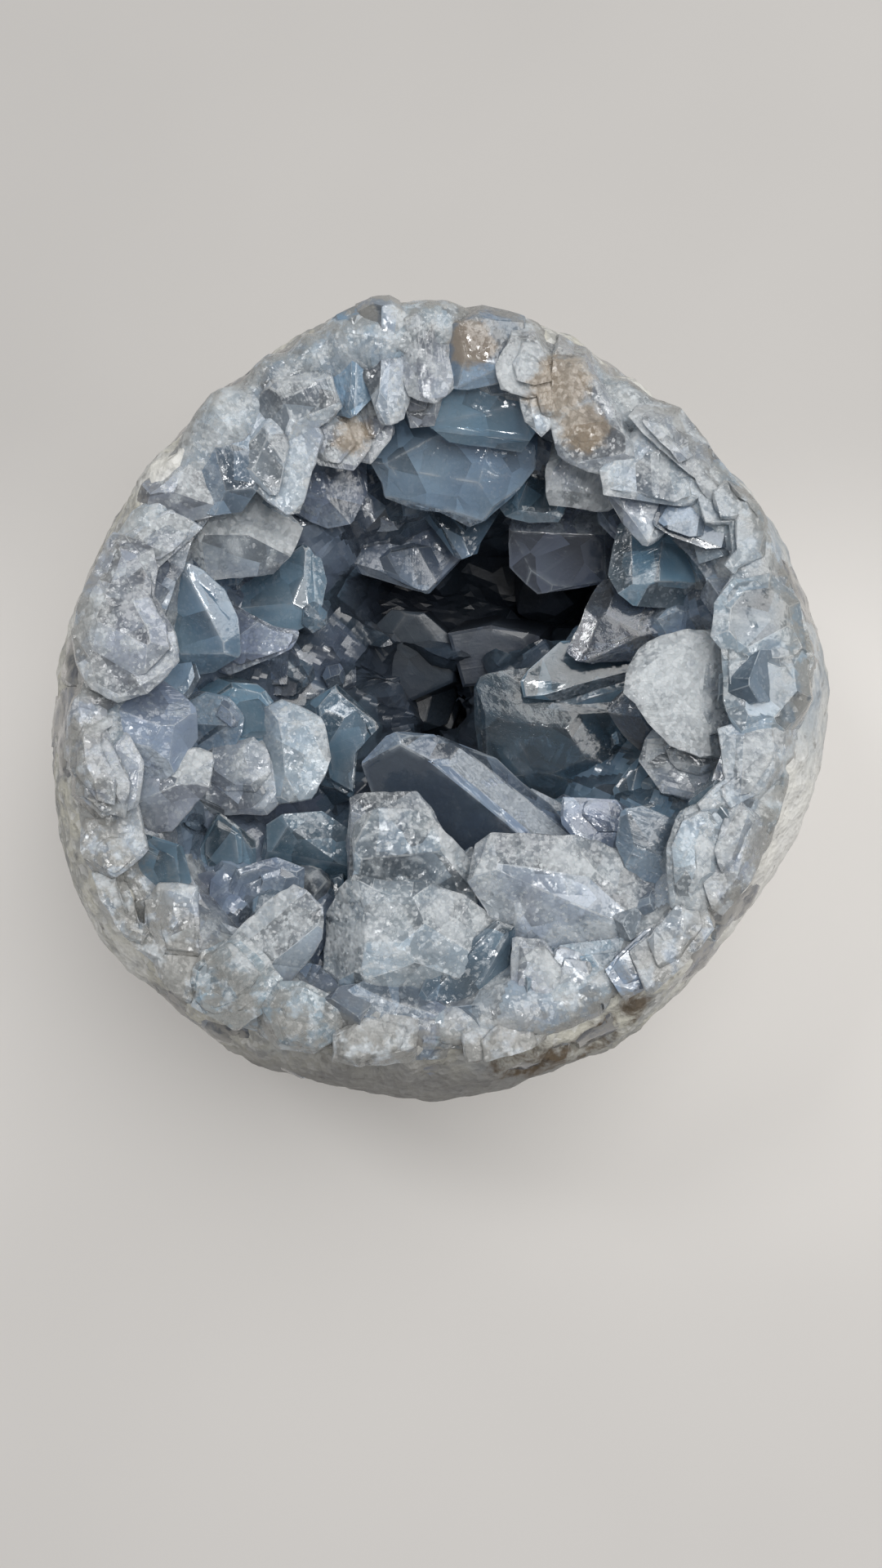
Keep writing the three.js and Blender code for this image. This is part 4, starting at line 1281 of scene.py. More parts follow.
RIM_GROUP = (
    # columns along the top
    Mass(((408, 450), (420, 415), (437, 402), (447, 410), (452, 450), (448, 480), (428, 498),
          (412, 500), (404, 475)), 78, (0, 0.3), (-16, 56, 68), H, Look(0.7, 0.2, 0.5), faces=(
        Facet((433, 402), (428, 498), (405, 450), 0.6, 0.45, 0.6), Facet((438, 402), (434, 498), (455, 450), 0.4, 0.1),
    )),
    Mass(((452, 405), (463, 393), (480, 391), (490, 402), (496, 440), (499, 470), (490, 502),
          (470, 506), (462, 470), (450, 440)), 79, (0, 0.3), (-10, 57, 68), F, Look(0.3, 0.35, 0.6),
         faces=(
        Facet((474, 440), (468, 506), (500, 480), 0.45, 1.0, 1.0), Facet((470, 392), (466, 500), (450, 440), 0.5, 0.2),
    )),
    Mass(((446, 440), (470, 446), (474, 470), (466, 502), (448, 502), (442, 470)), 75, (0, 0.3),
         (-11, 54, 66), F, Look(0.0, 0.55, 0.8)),
    Mass(((496, 412), (513, 404), (533, 418), (543, 440), (545, 470), (530, 478), (508, 472),
          (498, 440)), 79, (0, 0.3), (-3, 57, 68), F, Look(0.1, 0.5, 1.0), faces=(
        Facet((508, 408), (512, 474), (496, 440), 0.5, 0.9, 1.0), Facet((526, 412), (528, 478), (545, 450), 0.5, 0.5, 1.0),
    )),
    Mass(((503, 480), (514, 455), (528, 475), (526, 508), (508, 510)), 75, (0, 0.3), (-3, 52, 66), F,
         Look(0.0, 0.55, 0.2)),
    Mass(((420, 505), (440, 496), (462, 506), (468, 530), (450, 552), (424, 548)), 73, (0, 0.25),
         (-12, 50, 64), F, Look(0.0, 0.55, 0.7)),
    # broken blocks along the upper left
    Mass(((312, 520), (345, 490), (396, 476), (402, 505), (380, 520), (362, 542), (330, 546)), 77,
         (0, 0.25), (-25, 50, 66), F, Look(0.3, 0.6, 0.7), faces=(
        Facet((350, 488), (366, 540), (330, 520), 0.5, 0.35, 0.5), Facet((325, 530), (395, 500), (380, 530), 0.5, 0.8),
    )),
    Mass(((258, 562), (300, 550), (307, 590), (292, 622), (262, 628), (245, 602)), 75, (-0.1, 0.2),
         (-34, 42, 64), H, Look(0.5, 0.4, 0.2), faces=(
        Facet((268, 558), (285, 624), (250, 600), 0.5, 0.6), Facet((255, 600), (305, 595), (280, 630), 0.4, 0.2),
    )),
    Mass(((203, 612), (245, 570), (262, 600), (262, 626), (225, 642), (200, 640)), 74, (-0.1, 0.15),
         (-42, 36, 64), F, Look(0.1, 0.65, 0.2), faces=(
        Facet((215, 600), (260, 615), (230, 645), 0.5, 0.4),
    )),
    Mass(((165, 665), (205, 640), (236, 652), (205, 670), (186, 692), (158, 690)), 73, (-0.1, 0.1),
         (-48, 28, 62), F, Look(0.2, 0.7, 0.1)),
    # broken blocks along the lower left
    Mass(((112, 940), (150, 905), (160, 940), (158, 975), (130, 986), (106, 965)), 71, (-0.1, 0),
         (-54, -14, 60), F, Look(0.1, 0.65, 0.1)),
    Mass(((118, 1010), (160, 1000), (168, 1036), (142, 1060), (112, 1042)), 69, (-0.1, -0.05),
         (-54, -24, 58), F, Look(0.2, 0.6, 0.1)),
    Mass(((112, 1062), (150, 1070), (160, 1118), (200, 1142), (190, 1162), (152, 1140), (120, 1102)),
         67.5, (0, -0.1), (-50, -38, 56), F, Look(0.4, 0.9, 0.1)),
    Mass(((198, 1165), (250, 1175), (262, 1200), (240, 1218), (210, 1200)), 67, (0, -0.1),
         (-42, -46, 56), F, Look(0.5, 0.9, 0.1)),
    # blocks along the bottom
    Mass(((428, 1225), (470, 1196), (520, 1214), (545, 1246), (536, 1270), (470, 1276), (432, 1252)),
         69, (0, -0.1), (-8, -56, 60), H, Look(0.4, 0.45, 0.1), faces=(
        Facet((440, 1215), (530, 1240), (480, 1190), 0.4, 0.3), Facet((440, 1250), (540, 1255), (490, 1280), 0.6, 0.7),
    )),
    Mass(((425, 1268), (458, 1252), (500, 1256), (494, 1276), (450, 1286), (424, 1284)), 69.5,
         (0, -0.2), (-10, -58, 60), F, Look(0.1, 1.0, 0.1)),
    Mass(((580, 1262), (612, 1236), (645, 1236), (655, 1262), (630, 1290), (586, 1296)), 70,
         (0, -0.1), (12, -56, 60), F, Look(0.0, 0.8, 0.1)),
    # blocks along the lower right
    Mass(((786, 1160), (826, 1122), (852, 1110), (858, 1140), (826, 1180), (800, 1200)), 73,
         (0.05, -0.1), (38, -44, 62), F, Look(0.3, 0.6, 0.2)),
    Mass(((868, 1060), (884, 1010), (902, 985), (912, 1010), (896, 1060), (872, 1095)), 74,
         (0.1, -0.05), (50, -28, 62), F, Look(0.2, 0.6, 0.2)),
    Mass(((930, 720), (962, 700), (984, 742), (992, 800), (982, 850), (962, 860), (970, 800),
          (962, 750)), 73.5, (-0.15, 0), (58, 12, 62), F, Look(0.6, 0.45, 0.05)),
    Mass(((782, 520), (822, 536), (860, 575), (880, 600), (858, 606), (842, 574), (800, 540)), 77,
         (-0.1, 0.1), (42, 42, 64), F, Look(0.2, 0.75, 0.1)),
)
RIGHT_GROUP = (
    # the pale shoulder and the triangle on it
    Mass(((752, 600), (750, 577), (768, 556), (790, 530), (826, 540), (846, 575), (850, 605),
          (826, 610), (809, 603)), 75.5, (0, 0.05), (38, 38, 62), F, Look(0.45, 0.6, 0.1), 0.5, 0.9, 2, 1),
    Mass(((755, 603), (809, 601), (826, 607), (820, 622), (797, 656), (786, 657), (770, 640),
          (757, 620)), 73, (-0.05, 0.12), (38, 38, 60), F, Look(0.2, 0.5, 0.1), faces=(
        Facet((758, 612), (790, 655), (750, 650), 0.8, 0.3), Facet((815, 605), (795, 656), (840, 640), 0.5, 0.4),
    )),
    Mass(((738, 612), (757, 605), (773, 643), (758, 656), (744, 636)), 62, (0, 0), (36, 38, 54), H,
         Look(0.0, 0.3, 0.1), faces=()),
    Mass(((843, 606), (866, 612), (876, 640), (874, 660), (858, 658), (833, 648), (812, 640),
          (822, 622)), 73.5, (0, 0), (48, 28, 58), H, Look(0.3, 0.3, 0.1), 0.3, 0.6),
    # the glassy teal block
    Mass(((740, 704), (746, 681), (757, 652), (772, 645), (788, 664), (814, 643), (833, 647),
          (858, 654), (873, 656), (894, 660), (892, 689), (873, 713), (852, 725), (803, 738),
          (767, 734), (755, 719)), 65, (-0.03, 0.06), (50, 26, 50), H, Look(1, 0.3, 0.3, 1.0, 0.9), faces=(
        Facet((784, 655), (781, 720), (745, 690), 0.55, 0.3, 0.8), Facet((812, 640), (806, 725), (870, 690), 0.22, 0.04),
        Facet((790, 716), (888, 692), (840, 745), 0.9, 0.5), Facet((740, 702), (800, 716), (765, 740), 0.7, 0.4),
    )),
    # the clear prism with a bright lower edge
    Mass(((679, 797), (713, 761), (734, 721), (755, 719), (767, 734), (803, 738), (833, 732),
          (854, 727), (876, 734), (872, 753), (849, 780), (833, 797), (780, 801), (732, 806),
          (700, 806)), 60, (0, -0.05), (52, 16, 48), C, Look(0.2, 0.1, 0.3, 0.8, 0.2), faces=(
        Facet((745, 792), (864, 752), (820, 802), 1.3, 1.0, 0.8), Facet((733, 724), (742, 804), (700, 780), 0.35, 0.35),
        Facet((792, 735), (772, 800), (830, 770), 0.15, 0.55, 0.6),
    )),
    # the white striated block and what holds it
    Mass(((778, 847), (784, 821), (786, 804), (805, 793), (842, 784), (857, 784), (877, 793),
          (894, 815), (900, 845), (898, 884), (861, 886), (860, 910), (848, 910), (820, 897),
          (803, 875), (794, 856)), 71, (-0.05, 0.02), (48, 0, 58), F, Look(0.2, 1, 0.9), 0.9, 1.6, faces=(
        Facet((868, 786), (858, 884), (900, 840), 0.35, 0.75), Facet((780, 848), (866, 872), (830, 910), 0.3, 0.95),
        Facet((784, 822), (850, 784), (790, 790), 0.5, 0.9, 1.0),
    )),
    Mass(((809, 900), (848, 912), (861, 888), (900, 884), (910, 915), (896, 950), (860, 968),
          (820, 960), (796, 930)), 65, (0.05, 0), (50, -12, 54), F, Look(0.25, 0.5, 0.6), 0.5, 1.0, 3, 2, 3),
    Mass(((755, 867), (779, 846), (800, 860), (812, 892), (795, 904), (775, 914), (762, 892)), 64,
         (0.1, 0), (46, -6, 54), C, Look(0.4, 0.35, 1), faces=(
        Facet((782, 848), (785, 910), (815, 880), 0.5, 0.3, 1), Facet((758, 872), (806, 880), (785, 915), 0.4, 0.15),
    )),
    # the dark ledge under the prism and the strip below it
    Mass(((651, 832), (679, 797), (705, 805), (785, 799), (789, 818), (704, 846), (668, 857),
          (654, 850)), 56, (0, 0.1), (50, 8, 46), H, Look(0.95, 0.04, 0.1), 0.2, 0.4, faces=(
        Facet((664, 852), (788, 814), (740, 860), 1.4, 0.8),
    )),
    Mass(((664, 866), (704, 849), (784, 823), (784, 850), (757, 870), (722, 862), (700, 868)), 54,
         (0, 0.02), (50, 2, 44), H, Look(0.8, 0.3, 0.1), faces=(
        Facet((664, 862), (784, 838), (720, 885), 0.8, 0.15),
    )),
    # the smooth teal mass
    Mass(((569, 880), (573, 834), (584, 828), (621, 819), (651, 820), (653, 852), (668, 867),
          (720, 867), (751, 862), (768, 901), (777, 914), (790, 932), (762, 966), (712, 984),
          (668, 984), (642, 966), (603, 949), (577, 912)), 53, (0.1, 0.3), (46, -8, 36), C,
         Look(0.95, 0.0, 0.1, 0.3, 0.15), faces=(
        Facet((592, 830), (602, 940), (570, 880), 1.0, 0.6), Facet((585, 862), (652, 856), (620, 820), 0.4, 0.3),
        Facet((690, 888), (722, 935), (775, 900), 0.25, 0.1, 0, 0.2), Facet((605, 945), (735, 950), (670, 990), 0.5, 0.15),
        Facet((655, 868), (705, 884), (700, 862), 0.6, 0.45), Facet((590, 880), (760, 900), (680, 840), 0.3, 0.05, 0, 0.5),
    )),
    Mass(((760, 968), (790, 940), (830, 955), (866, 962), (872, 985), (850, 997), (800, 994),
          (765, 987)), 57, (0, -0.05), (48, -16, 46), H, Look(0.85, 0.05, 0.1), 0.3, 0.5),
    Mass(((640, 985), (700, 985), (768, 986), (800, 1000), (770, 1008), (700, 1010), (650, 1010)),
         52, (0, -0.05), (40, -18, 42), H, Look(0.8, 0.15, 0.1), 0.3, 0.5),
    # the massive right wall
    Mass(((888, 745), (905, 722), (940, 716), (968, 742), (976, 790), (945, 815), (905, 800),
          (884, 775)), 75, (-0.1, 0), (54, 14, 56), F, Look(0.6, 0.35, 0.05, 0.7, 0.3), 0.9, 2.2, 1, 1),
    Mass(((894, 800), (910, 796), (945, 812), (974, 800), (976, 850), (950, 885), (910, 890),
          (900, 860)), 75, (-0.1, 0), (54, 0, 56), F, Look(0.6, 0.35, 0.05, 0.7, 0.3), 0.9, 2.2, 1, 1),
    Mass(((886, 905), (920, 892), (952, 890), (944, 930), (918, 975), (880, 1000), (866, 975),
          (900, 945)), 74.5, (-0.05, 0.05), (52, -12, 56), F, Look(0.35, 0.6, 0.1), 0.7, 1.8, 2, 1),
    Mass(((855, 600), (875, 590), (905, 625), (930, 665), (945, 710), (910, 718), (890, 740),
          (878, 725), (896, 690), (896, 655), (875, 650)), 75, (-0.08, 0), (52, 28, 58), F,
         Look(0.4, 0.6, 0.1), 0.5, 1.4, 2, 1),
)
LEFT_GROUP = (
    # the pale wedge with a broken ridge
    Mass(((214, 636), (316, 616), (369, 650), (346, 698), (287, 704), (255, 655)), 68, (-0.06, 0.05), (-44, 27, 58), F,
         Look(0.3, 0.95, 0.15), 0.4, 0.8, faces=(
        Facet((255, 655), (369, 654), (310, 700), 0.5, 0.3), Facet((330, 640), (352, 690), (372, 660), 0.35, 0.5),
    )),
    Mass(((236, 658), (258, 655), (262, 680), (240, 684)), 66, (0, 0), (-40, 22, 58), C,
         Look(0.4, 0.3, 0.2), 0.4, 0.7),
    Mass(((200, 668), (236, 650), (262, 668), (272, 688), (250, 702), (215, 694)), 62, (0, 0.1),
         (-46, 24, 52), H, Look(0.6, 0.1, 0.1), 0.3, 0.5),
    # the deep blue crystal
    Mass(((177, 739), (185, 702), (217, 695), (249, 712), (272, 734), (284, 759), (288, 794),
          (279, 806), (274, 816), (239, 820), (217, 804), (207, 792), (197, 769)), 65,
         (-0.05, 0.3), (-50, 14, 54), H, Look(0.8, 0.05, 0.1, 0.35, 0.5), faces=(
        Facet((214, 801), (284, 800), (250, 830), 0.8, 0.3), Facet((228, 700), (262, 765), (290, 735), 0.25, 0.12),
        Facet((190, 700), (205, 780), (170, 740), 0.4, 0.4, 0, 1.0),
    )),
    Mass(((285, 740), (300, 757), (325, 774), (360, 776), (350, 792), (322, 796), (290, 815),
          (280, 810), (288, 780)), 58, (0.1, 0.05), (-44, 14, 48), H, Look(0.0, 0.4, 0.1), 0.3, 0.6),
    # the striated prism and the lump under it
    Mass(((132, 894), (135, 881), (147, 869), (150, 851), (167, 840), (197, 841), (219, 859),
          (232, 871), (235, 901), (211, 931), (200, 941), (175, 950), (157, 941), (147, 921),
          (150, 906)), 70, (-0.1, 0.1), (-48, -6, 56), H, Look(0.15, 0.4, 0.1, 0.6, 1.0), faces=(
        Facet((148, 870), (210, 893), (190, 840), 0.5, 0.45, 1.0), Facet((148, 907), (200, 918), (170, 950), 0.5, 1.0),
        Facet((207, 893), (217, 855), (240, 880), 0.7, 0.1), Facet((200, 918), (210, 893), (235, 930), 0.35, 0.35),
    )),
    Mass(((158, 952), (185, 955), (209, 938), (239, 928), (254, 931), (246, 963), (219, 998),
          (190, 1006), (168, 995), (158, 976)), 67, (0.1, 0.1), (-48, -16, 54), F,
         Look(0.1, 0.45, 0.2), faces=(
        Facet((165, 985), (250, 945), (225, 1000), 0.5, 0.35), Facet((195, 945), (245, 960), (235, 925), 0.3, 0.9),
    )),
    # between the blue crystal and the striated prism
    Mass(((178, 838), (200, 808), (226, 812), (232, 830), (219, 856), (198, 842)), 62, (0.1, 0),
         (-50, 4, 52), H, Look(0.6, 0.3, 0.1), 0.3, 0.6),
    # small crystals right of the striated prism
    Mass(((239, 870), (256, 862), (276, 866), (289, 884), (286, 905), (268, 931), (250, 915),
          (240, 893)), 58, (0.1, 0.05), (-44, -2, 48), H, Look(0.6, 0.4, 0.1), faces=(
        Facet((240, 892), (288, 888), (265, 932), 0.4, 0.5),
    )),
    Mass(((270, 862), (290, 849), (315, 852), (328, 870), (331, 888), (312, 899), (292, 898),
          (276, 880)), 57, (0, 0.1), (-44, 4, 46), H, Look(1, 0.12, 0.1), 0.5, 0.9),
    Mass(((334, 900), (340, 880), (362, 873), (392, 888), (394, 925), (378, 962), (360, 967),
          (342, 950)), 58, (-0.02, 0.08), (-38, -8, 46), F, Look(0.5, 0.45, 0.1), faces=(
        Facet((344, 880), (352, 955), (330, 920), 0.6, 0.35), Facet((345, 885), (390, 893), (365, 870), 0.5, 0.5),
    )),
    Mass(((299, 841), (305, 812), (325, 795), (350, 796), (354, 812), (353, 842)), 50, (0, 0),
         (-40, 8, 42), C, Look(0.2, 0.05, 0.1), 0.3, 0.5),
    Mass(((250, 935), (285, 905), (315, 905), (336, 930), (342, 960), (320, 985), (280, 985),
          (248, 970)), 56, (0.05, 0.05), (-44, -10, 46), F, Look(0.15, 0.4, 0.2), 0.5, 0.9, 2, 2, 3),
    # the massive pale wall at the left
    Mass(((143, 668), (182, 686), (184, 712), (176, 742), (196, 772), (204, 800), (176, 835),
          (148, 845), (120, 830), (109, 801), (100, 765), (116, 712)), 74, (-0.05, 0), (-52, 12, 56), F,
         Look(0.1, 0.62, 0.1), 0.9, 2.0, 2, 2),
    Mass(((108, 850), (146, 852), (146, 870), (130, 885), (128, 905), (150, 945), (150, 985),
          (122, 975), (100, 930), (98, 885)), 72, (0, 0), (-54, -8, 56), F, Look(0.1, 0.6, 0.2), 0.7,
         1.6, 2, 1),
)
FRONT_GROUP = (
    Mass(((189, 1110), (201, 1098), (231, 1098), (228, 1124), (235, 1158), (196, 1153),
          (191, 1131)), 67.5, (0, 0), (-42, -36, 52), F, Look(0.2, 0.7, 0.1), 0.4, 0.6),
    Mass(((150, 1050), (180, 1035), (214, 1045), (222, 1075), (200, 1098), (165, 1095)), 64.5,
         (0.1, 0.3), (-46, -28, 50), H, Look(0.95, 0.05, 0.1, 0.5, 0.2)),
    Mass(((295, 1147), (320, 1128), (336, 1110), (359, 1091), (382, 1119), (384, 1142), (361, 1170),
          (336, 1195), (327, 1199), (306, 1170)), 67.5, (0.08, -0.05), (-30, -44, 56), F,
         Look(0.3, 0.6, 0.2), faces=(
        Facet((306, 1150), (366, 1100), (320, 1110), 0.4, 0.9), Facet((320, 1190), (380, 1140), (370, 1190), 0.8, 0.35),
    )),
    Mass(((253, 1192), (260, 1176), (292, 1158), (311, 1176), (332, 1199), (325, 1220), (292, 1245),
          (270, 1248), (247, 1232), (251, 1204)), 68.5, (0.1, 0.1), (-34, -46, 56), F,
         Look(0.8, 0.6, 0.6), 0.4, 0.7, 3, 2, 3),
    Mass(((336, 1234), (348, 1213), (370, 1218), (411, 1232), (402, 1259), (384, 1271),
          (354, 1264)), 69, (0, 0.1), (-24, -52, 56), F, Look(0.8, 0.55, 0.2), 0.5, 1.0),
    Mass(((270, 1007), (302, 1036), (304, 1069), (288, 1078), (258, 1075), (253, 1048)), 53,
         (0, 0.35), (-36, -28, 42), H, Look(0.95, 0.05, 0.1, 0.5, 0.15)),
    Mass(((233, 1087), (260, 1078), (283, 1114), (293, 1147), (270, 1176), (235, 1158),
          (231, 1119)), 54, (0.1, 0.35), (-34, -34, 42), H, Look(0.05, 0.05, 0.2, 0.5, 0.2)),
    Mass(((300, 1075), (335, 1060), (362, 1070), (358, 1092), (322, 1128), (296, 1140), (284, 1110)),
         57, (0, 0.3), (-30, -34, 46), H, Look(0.3, 0.3, 0.3, 0.8, 0.15), 0.5, 0.9, 2, 2),
    Mass(((340, 1010), (400, 983), (436, 1012), (448, 1036), (441, 1057), (418, 1076), (372, 1073),
          (340, 1050)), 54, (-0.1, 0.35), (-20, -38, 42), H, Look(1, 0.1, 0.1, 0.5, 0.1), faces=(
        Facet((350, 1010), (430, 1068), (410, 1000), 0.25, 0.4), Facet((345, 1045), (430, 1060), (390, 1085), 0.5, 0.1),
    )),
    Mass(((381, 1100), (418, 1080), (418, 1150), (432, 1175), (418, 1198), (381, 1175)), 50,
         (0, 0.2), (-18, -40, 40), H, Look(0.85, 0.12, 0.1)),
    # sparkling block above the front blocks
    Mass(((441, 980), (507, 982), (516, 992), (534, 1012), (535, 1033), (501, 1060), (447, 1056),
          (446, 1006)), 61, (0, 0.1), (-6, -44, 50), F, Look(0.2, 0.5, 0.3), faces=(
        Facet((444, 1003), (520, 1003), (480, 1060), 0.45, 1.0, 0.3),
    )),
    # the front blocks
    Mass(((447, 1006), (507, 1003), (534, 1024), (570, 1027), (570, 1069), (582, 1093), (504, 1101),
          (465, 1089), (426, 1071), (450, 1054)), 66, (0, 0.08), (-4, -48, 56), F,
         Look(0.55, 0.45, 0.2, 1.0, 0.2), faces=(
        Facet((440, 1062), (560, 1050), (500, 1105), 0.25, 0.62), Facet((535, 1026), (545, 1095), (590, 1060), 0.3, 0.8),
    )),
    Mass(((417, 1090), (429, 1080), (465, 1090), (504, 1096), (558, 1096), (582, 1105),
          (600, 1141), (582, 1150), (540, 1192), (522, 1219), (522, 1238), (480, 1235), (462, 1219),
          (465, 1195), (450, 1174), (432, 1168), (415, 1141)), 68.5, (0.04, 0.02), (-6, -50, 56), F,
         Look(0.55, 0.5, 0.05, 1.0, 0.2), 0.9, 2.0, faces=(
        Facet((504, 1094), (530, 1155), (595, 1130), 0.3, 0.7, 0.2), Facet((445, 1172), (530, 1160), (490, 1235), 0.35, 0.5),
        Facet((446, 1084), (452, 1176), (418, 1130), 0.8, 0.85),
    )),
    Mass(((600, 1141), (621, 1147), (630, 1162), (612, 1198), (582, 1240), (552, 1267),
          (522, 1258), (521, 1225), (540, 1192)), 68, (-0.1, 0.12), (0, -54, 56), H,
         Look(0.75, 0.2, 0.03, 0.3, 0.12), faces=(
        Facet((622, 1146), (556, 1262), (625, 1210), 0.7, 0.04, 0, 0.3), Facet((534, 1195), (600, 1139), (560, 1160), 0.8, 0.5),
    )),
    # the long pale slab
    Mass(((570, 1019), (648, 1028), (679, 1033), (708, 1030), (753, 1034), (765, 1054), (786, 1081),
          (819, 1114), (814, 1132), (792, 1150), (735, 1151), (705, 1162), (669, 1169), (648, 1156),
          (630, 1147), (606, 1129), (582, 1102), (570, 1069)), 70, (-0.04, 0.03), (34, -44, 58), F,
         Look(0.25, 0.45, 0.1), faces=(
        Facet((600, 1062), (760, 1130), (650, 1160), 0.5, 0.62), Facet((686, 1036), (790, 1120), (790, 1070), 0.4, 0.5),
        Facet((618, 1020), (600, 1100), (572, 1060), 0.35, 0.85), Facet((700, 1030), (770, 1062), (760, 1030), 0.5, 0.7),
    )),
    Mass(((752, 1032), (764, 1003), (787, 1001), (831, 1020), (835, 1046), (830, 1106),
          (812, 1108), (782, 1078)), 70, (-0.05, 0.05), (44, -30, 58), H, Look(0.6, 0.35, 1),
         faces=(
        Facet((772, 1004), (790, 1085), (750, 1040), 0.6, 0.3, 0.4), Facet((770, 1040), (834, 1052), (800, 1110), 0.35, 0.12),
    )),
    Mass(((833, 1046), (838, 1008), (870, 995), (884, 1015), (879, 1046), (865, 1060), (867, 1092),
          (850, 1108), (831, 1110)), 73, (0, 0.05), (46, -26, 60), F, Look(0.5, 0.65, 0.3), 0.5, 1.1,
         2, 2, 3),
    Mass(((700, 985), (745, 990), (760, 1008), (752, 1030), (720, 1028), (700, 1008)), 60, (0, 0),
         (36, -26, 50), H, Look(0.2, 0.35, 0.2)),
    Mass(((610, 975), (640, 966), (668, 986), (700, 1010), (706, 1028), (660, 1026), (620, 1018),
          (598, 1000)), 55, (-0.05, 0.1), (30, -30, 46), H, Look(0.5, 0.15, 0.1), faces=(
        Facet((600, 992), (680, 992), (640, 962), 0.3, 0.9),
    )),
    Mass(((695, 1160), (782, 1150), (782, 1170), (750, 1186), (697, 1177)), 70, (0, -0.05),
         (30, -46, 56), H, Look(0.9, 0.4, 0.1), 0.4, 0.8),
    Mass(((690, 1178), (714, 1180), (718, 1213), (700, 1230), (680, 1215)), 70, (0, 0),
         (24, -50, 58), F, Look(0.2, 0.5, 0.3), 0.5, 0.9),
    Mass(((634, 1160), (661, 1168), (678, 1197), (677, 1230), (657, 1241), (634, 1236)), 69.5,
         (0.05, 0), (16, -50, 58), F, Look(0.1, 0.65, 0.2), 0.5, 1.0),
    Mass(((755, 1182), (790, 1155), (815, 1140), (822, 1160), (796, 1190), (768, 1206)), 72,
         (0, 0), (36, -44, 58), H, Look(0.3, 0.35, 0.2), 0.4, 0.9),
)
POCKET_GROUP = (
    Mass(((457, 860), (462, 780), (482, 758), (514, 762), (540, 785), (546, 830), (504, 846),
          (469, 862)), 38, (0.05, 0.38), (-2, 12, 20), H, Look(0.6, 0.0, 0.05, 0.3), 0.3, 0.6, 0, 0, 1),
    Mass(((560, 780), (604, 778), (648, 783), (648, 795), (618, 824), (576, 832)), 41, (0, 0.35),
         (14, 16, 26), H, Look(0.1, 0.05, 0.1, 0.3, 0.3), 0.3, 0.5, 1, 0, 1),
    Mass(((356, 778), (393, 762), (425, 764), (427, 829), (400, 847), (361, 815)), 45, (0, 0.1),
         (-36, 12, 30), H, Look(0.05, 0.25, 0.1), 0.4, 0.7),
    Mass(((397, 865), (418, 850), (436, 872), (452, 893), (430, 907), (432, 964), (409, 948)), 50,
         (0, 0.1), (-30, -8, 30), H, Look(0.9, 0.2, 0.1), 0.3, 0.5),
)


@dataclass(frozen=True)
class Row:
    """A row of smaller crystals round the wall, at one height on the hollow's profile."""

    height: float
    count: int
    reach: float
    wide: float
    up: float
    blunt: float
    layers: int = 1
    spread: float = 3.0
    chips: int = 3
    edge: float = 0.14
    clarity: Optional[Clarity] = None
    # rim: how far the painted pale glow reaches in from the border of each face
    rim: float = 0.0

    def grow(self, row: int) -> list[Crystal]:
        """Places the row's crystals, each a little out of line with the next."""
        wall = smooth(HOLLOW, 60)
        crystals = []
        for n in range(self.count):
            seed = row * 100 + n

            def vary(k: int, least: float, most: float) -> float:
                """A number that differs from crystal to crystal."""
                return least + (most - least) * scatter(seed * 7 + k)

            angle = (n + vary(1, -0.3, 0.3)) / self.count * math.tau + row
            height = self.height + vary(2, -self.spread, self.spread)
            i = min(len(wall) - 1, max(1, next((i for i, p in enumerate(wall) if p[1] < height), 1)))
            slope = (Vector(wall[i - 1]) - Vector(wall[i])).normalized()
            radius, level = wall[i][0], -abs(slope.y)
            spot = settle(Vector((radius * math.cos(angle), radius * math.sin(angle), wall[i][1])))
            inward = Vector((math.cos(angle) * level, math.sin(angle) * level, slope.x)).normalized()
            sway = Vector((vary(3, -0.35, 0.35), vary(4, -0.35, 0.35), self.up + vary(5, -0.3, 0.3)))
            aim = (inward + sway).normalized()
            size = self.wide * vary(7, 0.75, 1.2)
            frost = vary(11, 0.1, 0.6) + 0.25 * smoothstep(height, 45, 72)
            clarity = F if vary(12, 0, 1) < 0.2 + 0.35 * smoothstep(height, 50, 72) else H
            crystals.append(Crystal(
                tuple(spot + aim * 1.5), tuple(spot + aim * self.reach * vary(6, 0.75, 1.2)), size,
                size * vary(8, 0.7, 1.05), vary(9, 0, 180), self.blunt + vary(10, 0, 2.5),
                self.clarity or clarity, Look(vary(13, 0, 1), frost, vary(14, 0.1, 0.7)), self.layers,
                self.chips, self.edge, True, self.rim,
            ))
        return crystals


ROWS = (
    Row(60, 14, 10, 10, 0.2, 0), Row(50, 10, 12, 11, 0.2, 0), Row(40, 8, 16, 12, 0.3, 0),
    Row(27, 6, 15, 12, 0.5, 0), Row(17, 3, 12, 11, 0.9, 0),
)


def druse(height: float, count: int, reach: float, wide: float, up: float) -> Row:
    """Returns a row of small crystals, each without layers."""
    return Row(height, count, reach, wide, up, 0, 0, 3.5, 1, 0.1, Clarity.DRUSE, 0.0)


DRUSE_ROWS = (
    druse(70, 70, 6.5, 5, 0.5), druse(64, 70, 7.5, 5, 0.3), druse(57, 64, 8, 5, 0.3),
    druse(50, 60, 8, 5.5, 0.3), druse(43, 56, 8.5, 5.5, 0.3), druse(36, 50, 8.5, 5.5, 0.3),
    druse(29, 42, 9, 5.5, 0.4), druse(23, 32, 9, 5.5, 0.6), druse(18, 22, 8.5, 5.5, 0.8),
    druse(14, 10, 8, 5, 0.9),
)


